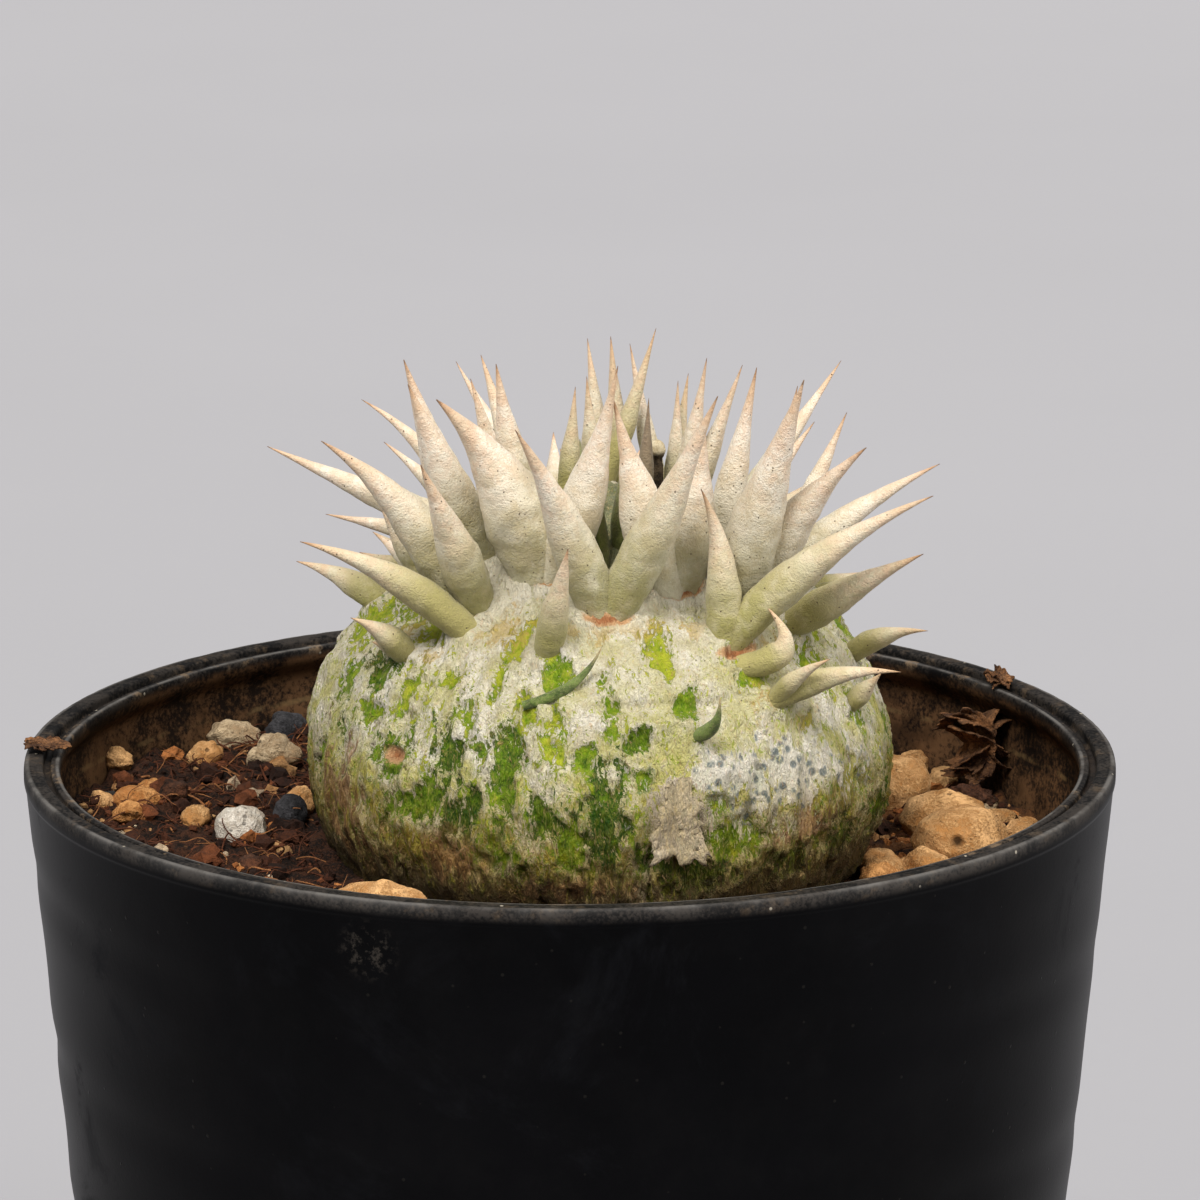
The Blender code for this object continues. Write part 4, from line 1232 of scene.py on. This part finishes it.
stoneLooks = {
    kind: {"light": light, "dark": dark, "lump": lump, "pores": pores, "slot": slot}
    for kind, light, dark, lump, pores, slot in (
        ("tan", (226, 178, 122), (180, 128, 74), 0.5, 0.22, "tan_granule"),
        ("pale", (206, 184, 150), (160, 134, 102), 0.5, 0.2, "tan_granule"),
        ("ochre", (212, 154, 94), (166, 108, 56), 0.45, 0.25, "ochre_granule"),
        ("white", (240, 232, 220), (200, 186, 168), 0.55, 0.5, "white_pumice"),
        ("grey", (66, 66, 70), (34, 34, 37), 0.4, 0.15, "grey_stone"),
        ("bark", (88, 54, 36), (34, 21, 15), 0.95, 0.3, "bark"),
        ("leaf", (142, 98, 62), (52, 32, 22), 0, 0.4, "bark"),
    )
}


def buildStoneFinish(kind, look):
    made, tree, shader = newFinish(kind + "Stone", Specular_IOR_Level=0.25)
    own = mottled(tree, paint(*look["light"]), paint(*look["dark"]), 0.0024, 0.00022, 0.7)
    holes = specked(tree, 0.0015, look["pores"], 0.17)
    pits = specked(tree, 0.0006, look["pores"] * 1.3, 0.2)
    film = useGroup(tree, dust, Amount=0.5, Size=0.0015)["Mask"]
    pale = tuple(min(255, c + 26) for c in look["light"])
    # painted shade: pores, pits and hollows are coloured much darker than the stone
    deep = tuple(c * 0.42 for c in look["dark"])
    colour = coats(own["Colour"], (film, None, pale), (holes, 0.75, deep), (pits, 0.4, deep),
                   (field(tree, "hollow"), None, deep))
    height = less(plus(own["Grain"], times(own["Mask"], 0.5)), timesPlus(pits, 0.6, holes))
    finishWith(shader, colour, rise(own["Grain"], 0.2, 0.8, 0.84, 0.97), height, 0.0002)
    return made


# Loose small stones: across and back from the pot's middle in mm, width in mm, and kind
smallStones = [
    (-38.6, 18, 3.4, "tan"), (-36.8, 4, 3, "ochre"), (-39.4, 7.6, 2.6, "tan"),
    (-31.2, 3, 3, "tan"),
    (-29.4, 29.4, 4.2, "pale"), (-31.6, 23.4, 3.4, "tan"), (-25.6, 25.4, 3, "pale"),
    (-24.8, 32, 4, "grey"), (-22.6, 7.4, 3, "tan"), (-35.6, 13, 2.4, "ochre"),
    (-27, 13, 2.6, "bark"), (-33.4, 9, 2.8, "bark"), (-30.4, -5.4, 2.4, "bark"),
    (-26, -9.4, 2.4, "bark"), (36.2, 13.6, 3.6, "tan"), (38.2, 8.4, 3.4, "tan"),
    (25.6, -7, 3.4, "ochre"), (28.6, -7.6, 3.6, "tan"), (25.8, -3.2, 4.6, "tan"),
    (29.4, -2.4, 4.4, "tan"), (32.6, 0.8, 4, "ochre"), (35, 4.6, 3.2, "tan"),
    (35.4, 17.4, 3, "pale"), (39, 3, 2.6, "tan"),
    (27.4, 26.6, 4, "ochre"), (32, 24.6, 3.4, "tan"), (30, 30, 3.2, "tan"),
    (22.4, 33, 3.6, "ochre"),
    (10, 37, 4, "tan"), (-4, 38, 3.4, "tan"), (-14, 36, 3, "ochre"), (2, -33, 3, "tan"),
    (14, -35, 3.4, "ochre"), (24, -26, 3.2, "tan"), (-14, -30, 2.8, "pale"), (-30, -20, 3, "bark"),
]


def buildSmallStones(finishes):
    shape, skin = ball(4)
    for kind in sorted({stone[3] for stone in smallStones}):
        parts = []
        for number, (x, y, width, own) in enumerate(smallStones):
            if own != kind:
                continue
            rng = np.random.default_rng(600 + number)
            size = np.array((1, rng.uniform(0.65, 0.95), rng.uniform(0.6, 0.85))) * width * mm / 2
            where = shape * 1.2 + number * 7.3
            lump = 1 + 0.7 * (layeredNoise(where, 3, 610) - 0.5)
            chips, _ = cellNoise(where * 1.4, 620)
            lump += 0.28 * (0.5 - chips)
            stone = spun(shape * lump[:, None] * size, rng.uniform(0, 2 * np.pi))
            x, y = x * mm, y * mm
            lying = soilHeight(np.array([x]), np.array([y]))[0]
            parts.append((stone + (x, y, lying + size[2] * 0.35), skin))
        points, faces = joined(parts)
        makePiece("small_stones_" + kind, points, faces, finishes[kind],
                  stoneLooks[kind]["slot"], hollow=np.zeros(len(points)))


def buildStones():
    shape, skin = ball(5)
    finishes = {kind: buildStoneFinish(kind, look) for kind, look in stoneLooks.items()}
    names = [name for name in frame["nodes"]
             if name.endswith(("stone", "pumice")) or "granule" in name]
    for seed, name in enumerate(sorted(names) + ["bark_clump"]):
        kind = name.split("_")[0]
        look = stoneLooks[kind]
        low, high = (np.array(corner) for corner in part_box(name))
        middle, size = (low + high) / 2, (high - low) / 2
        away = shape * size
        reachOf = reach(treeOf(name), middle, away)
        ways = away / np.linalg.norm(away, axis=1)[:, None]
        points = middle + ways * reachOf[:, None]
        unit = size.min()
        broad = layeredNoise(points / (unit * 1.1), 3, 100 + seed) - 0.5
        chips, _ = cellNoise(points / (unit * 0.75), 120 + seed)
        fine = layeredNoise(points / (0.7 * mm), 3, 140 + seed) - 0.5
        lift = look["lump"] * unit * (0.34 * broad + 0.3 * (0.45 - chips)) + 0.22 * mm * fine
        if name == "pale_granule_back":  # several small stones lying together
            lumps, _ = cellNoise(points / (unit * 1.15), 170)
            lift += unit * 0.9 * (0.4 - lumps)
        if kind == "bark":
            ridges = np.abs(layeredNoise(points * (1, 1, 2.5) / (1.1 * mm), 3, 150) - 0.5)
            lift += unit * (0.9 * ridges - 0.25)
        hollow = np.zeros(len(points))
        # two pits sunk into the large tan granule; the finish paints them dark as painted shade
        if name == "tan_granule_large":
            for around, height, width in ((-6, 0.32, 0.42), (-24, 0.62, 0.3)):
                hole = middle + heading(around) * (size[0] * 0.86) + (0, 0, size[2] * height)
                near = np.linalg.norm(points - hole, axis=1)
                hollow = np.maximum(hollow, step(near, (width + 0.3) * mm, width * mm))
            lift -= hollow * 0.5 * mm
        points = points + ways * lift[:, None]
        makePiece(name + "_rough", points, skin, finishes[kind], look["slot"], [name],
                  hollow=hollow)
    buildSmallStones(finishes)
    return finishes["leaf"]


# Curled bits of dry leaf and bark, as crumpled sheets

def crumple(name, middle, across, up, size, fold, nodes, seed, sheets, curl=0.0):
    # ragged sheets, each turned a little its own way and rolled about its own width
    rows, columns = 34, 26
    width, height = size
    across, up = np.array(across), np.array(up)
    out = np.cross(across, up)
    rng = np.random.default_rng(seed)
    parts = []
    for sheet in range(sheets):
        u, v = sheetGrid(rows, columns)
        where = np.stack([u * 1.3, v * 1.6, 0 * u + sheet * 5.3], axis=1)
        edge = 0.6 + 0.8 * layeredNoise(where * 1.9 + 3, 4, seed + sheet)
        lift = fold * 2 * (layeredNoise(where * 1.25, 4, seed + 40 + sheet) - 0.5)
        lift = lift + fold * 0.5 * u * u
        turned = rng.uniform(-0.7, 0.7) * (sheet > 0)
        side, tall = u * edge * width / 2, v * edge * height / 2
        if curl:
            bend = height / 2 / curl
            lift = lift + bend * (1 - np.cos(v * edge * curl)) * (1 if sheet % 2 else -1)
            tall = bend * np.sin(v * edge * curl)
        c, s = math.cos(turned), math.sin(turned)
        side, tall = side * c - tall * s, side * s + tall * c
        shift = rng.uniform(-0.16, 0.16, 2) * (sheet > 0)
        made = (np.array(middle) + np.outer(side + shift[0] * width, across)
                + np.outer(tall + shift[1] * height, up) + np.outer(lift, out))
        parts.append((made, gridFaces(rows, columns, False)))
    points, faces = joined(parts)
    piece = makePiece(name, points, faces, leafFinish, "bark", nodes, hollow=np.zeros(len(points)))
    thicken(piece, "Leaf thickness", 0.12 * mm)


def chipSpot(node):
    # a chip's middle, the way out from the pot's axis there and the way along its wall
    low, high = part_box(node)
    spot = (np.array(low) + np.array(high)) / 2
    outward = spot * (1, 1, 0) / math.hypot(spot[0], spot[1])
    return spot, outward, np.cross((0, 0, 1), outward)


leafFinish = buildStones()
spot, outward, tangent = chipSpot("wall_chip")
crumple("wall_leaf", spot - outward * 1.1 * mm + (0, 0, 1.4 * mm), tangent, (0, 0, 1),
        (4.4 * mm, 6.4 * mm), 0.9 * mm, ["wall_chip"], 200, 5, 1.5)
rimSpot = outward * (rimRadius - 2.2 * mm) + (0, 0, potHeight + 0.5 * mm) - tangent * 0.5 * mm
crumple("rim_leaf", rimSpot, tangent, outward * 0.9 + (0, 0, 0.1), (2.6 * mm, 1.8 * mm), 0.5 * mm,
        [], 230, 3, 1.1)
spot, outward, tangent = chipSpot("rim_chip")
crumple("rim_flake", spot + (0, 0, 0.2 * mm), tangent, outward, (3.4 * mm, 2.6 * mm), 0.35 * mm,
        ["rim_chip"], 260, 2)
print("stones and bark bits laid")


# The dried bud in the middle of the crown

budShape = {
    "shares": (0, 0.5, 0.7, 0.74, 0.82, 0.93, 0.98, 1),
    "widths": (0.8, 0.78, 0.62, 0.9, 1.1, 0.85, 0.4, 0.04),
}


def buildBud():
    made, tree, shader = newFinish("driedBud", Specular_IOR_Level=0.3)
    level = addNode(tree, "SeparateXYZ", {0: place(tree)}).outputs[2]
    low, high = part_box("growing_tip")
    scale = mottled(tree, paint(92, 78, 60), paint(44, 36, 28), 0.0009, 0.0002, 0.6)
    cap = mottled(tree, paint(226, 214, 184), paint(186, 170, 136), 0.0006, 0.0001, 0.5)
    capOn = rise(level, high.z - 1.3 * mm, high.z - 0.8 * mm)
    finishWith(shader, blend(capOn, scale["Colour"], cap["Colour"]),
               rise(scale["Grain"], 0.2, 0.8, 0.7, 0.9), scale["Grain"], 0.0002)
    rows, columns = 40, 28
    share = np.linspace(0, 1, rows)
    width = np.interp(share, budShape["shares"], budShape["widths"])
    turn, share = ringTurns(rows, columns), np.repeat(share, columns)
    radius = np.repeat(width, columns) * (high.x - low.x) / 2
    radius *= 1 + 0.12 * np.sin(6 * turn + share * 9) * (share < 0.72)
    middle = (low + high) / 2
    points = ringPoints(radius, turn, low.z + share * (high.z - low.z)) + (middle.x, middle.y, 0)
    points += (layeredNoise(points / (0.5 * mm), 3, 300) - 0.5)[:, None] * 0.12 * mm
    faces = gridFaces(rows, columns).tolist() + [list(range((rows - 1) * columns, rows * columns))]
    makePiece("growing_tip_dried", points, faces, made, "dried_bud", ["growing_tip"])


buildBud()
print("bud built")


# Studio: a pale floor, a soft pale room and two broad soft suns

studio = {
    "floor": paint(163, 164, 170),
    "floorDark": paint(160, 161, 167),
    "floorWidth": 24,
    "room": (0.81, 0.81, 0.82),
    "roomStrength": 0.42,
    "suns": [
        # the way it shines from, its strength, how wide it looks in degrees, and its colour
        ((-0.25, -0.55, 0.85), 3.2, 26, (1, 0.95, 0.88)),
        ((0.6, -0.4, 0.65), 2.0, 40, (1, 0.95, 0.88)),
    ],
    "camera": {"distance": 0.6, "rise": 15.6, "tilt": -14.4, "across": 0.00248, "lens": 217.9},
}


def buildFloor():
    made, tree, shader = newFinish("paleFloor", Specular_IOR_Level=0.2)
    own = mottled(tree, studio["floor"], studio["floorDark"], 0.6, 0.002, 0.1)
    finishWith(shader, own["Colour"], rise(own["Grain"], 0.2, 0.8, 0.75, 0.85),
               times(own["Grain"], 0.3), 0.0001, 0.3)
    half = studio["floorWidth"] / 2
    mesh = bpy.data.meshes.new("floor")
    mesh.from_pydata([(-half, -half, 0), (half, -half, 0), (half, half, 0), (-half, half, 0)], [],
                     [(0, 1, 2, 3)])
    mesh.materials.append(made)
    floor = bpy.data.objects.new("floor", mesh)
    bpy.context.scene.collection.objects.link(floor)


def buildStudio():
    scene = bpy.context.scene
    world = bpy.data.worlds.new("paleRoom")
    world.use_nodes = True
    background = world.node_tree.nodes["Background"]
    background.inputs["Color"].default_value = (*studio["room"], 1)
    background.inputs["Strength"].default_value = studio["roomStrength"]
    scene.world = world
    for number, (away, strength, width, colour) in enumerate(studio["suns"]):
        light = bpy.data.lights.new("softSun%d" % number, "SUN")
        light.energy = strength
        light.angle = math.radians(width)
        light.color = colour
        lamp = bpy.data.objects.new(light.name, light)
        lamp.location = away
        lamp.rotation_euler = (-Vector(away)).to_track_quat("-Z", "Y").to_euler()
        scene.collection.objects.link(lamp)
    view = studio["camera"]
    camera = bpy.data.cameras.new("camera")
    camera.lens = view["lens"]
    camera.sensor_width = 36
    camera.clip_start = 0.01
    camera.clip_end = 100
    eye = bpy.data.objects.new("camera", camera)
    tall = math.radians(view["rise"])
    eye.location = (view["across"], -view["distance"] * math.cos(tall),
                    potHeight + view["distance"] * math.sin(tall))
    eye.rotation_euler = (math.radians(90 + view["tilt"]), 0, 0)
    scene.collection.objects.link(eye)
    scene.camera = eye
    scene.view_settings.view_transform = "Standard"


buildFloor()
buildStudio()
print("floor, lights and camera set")
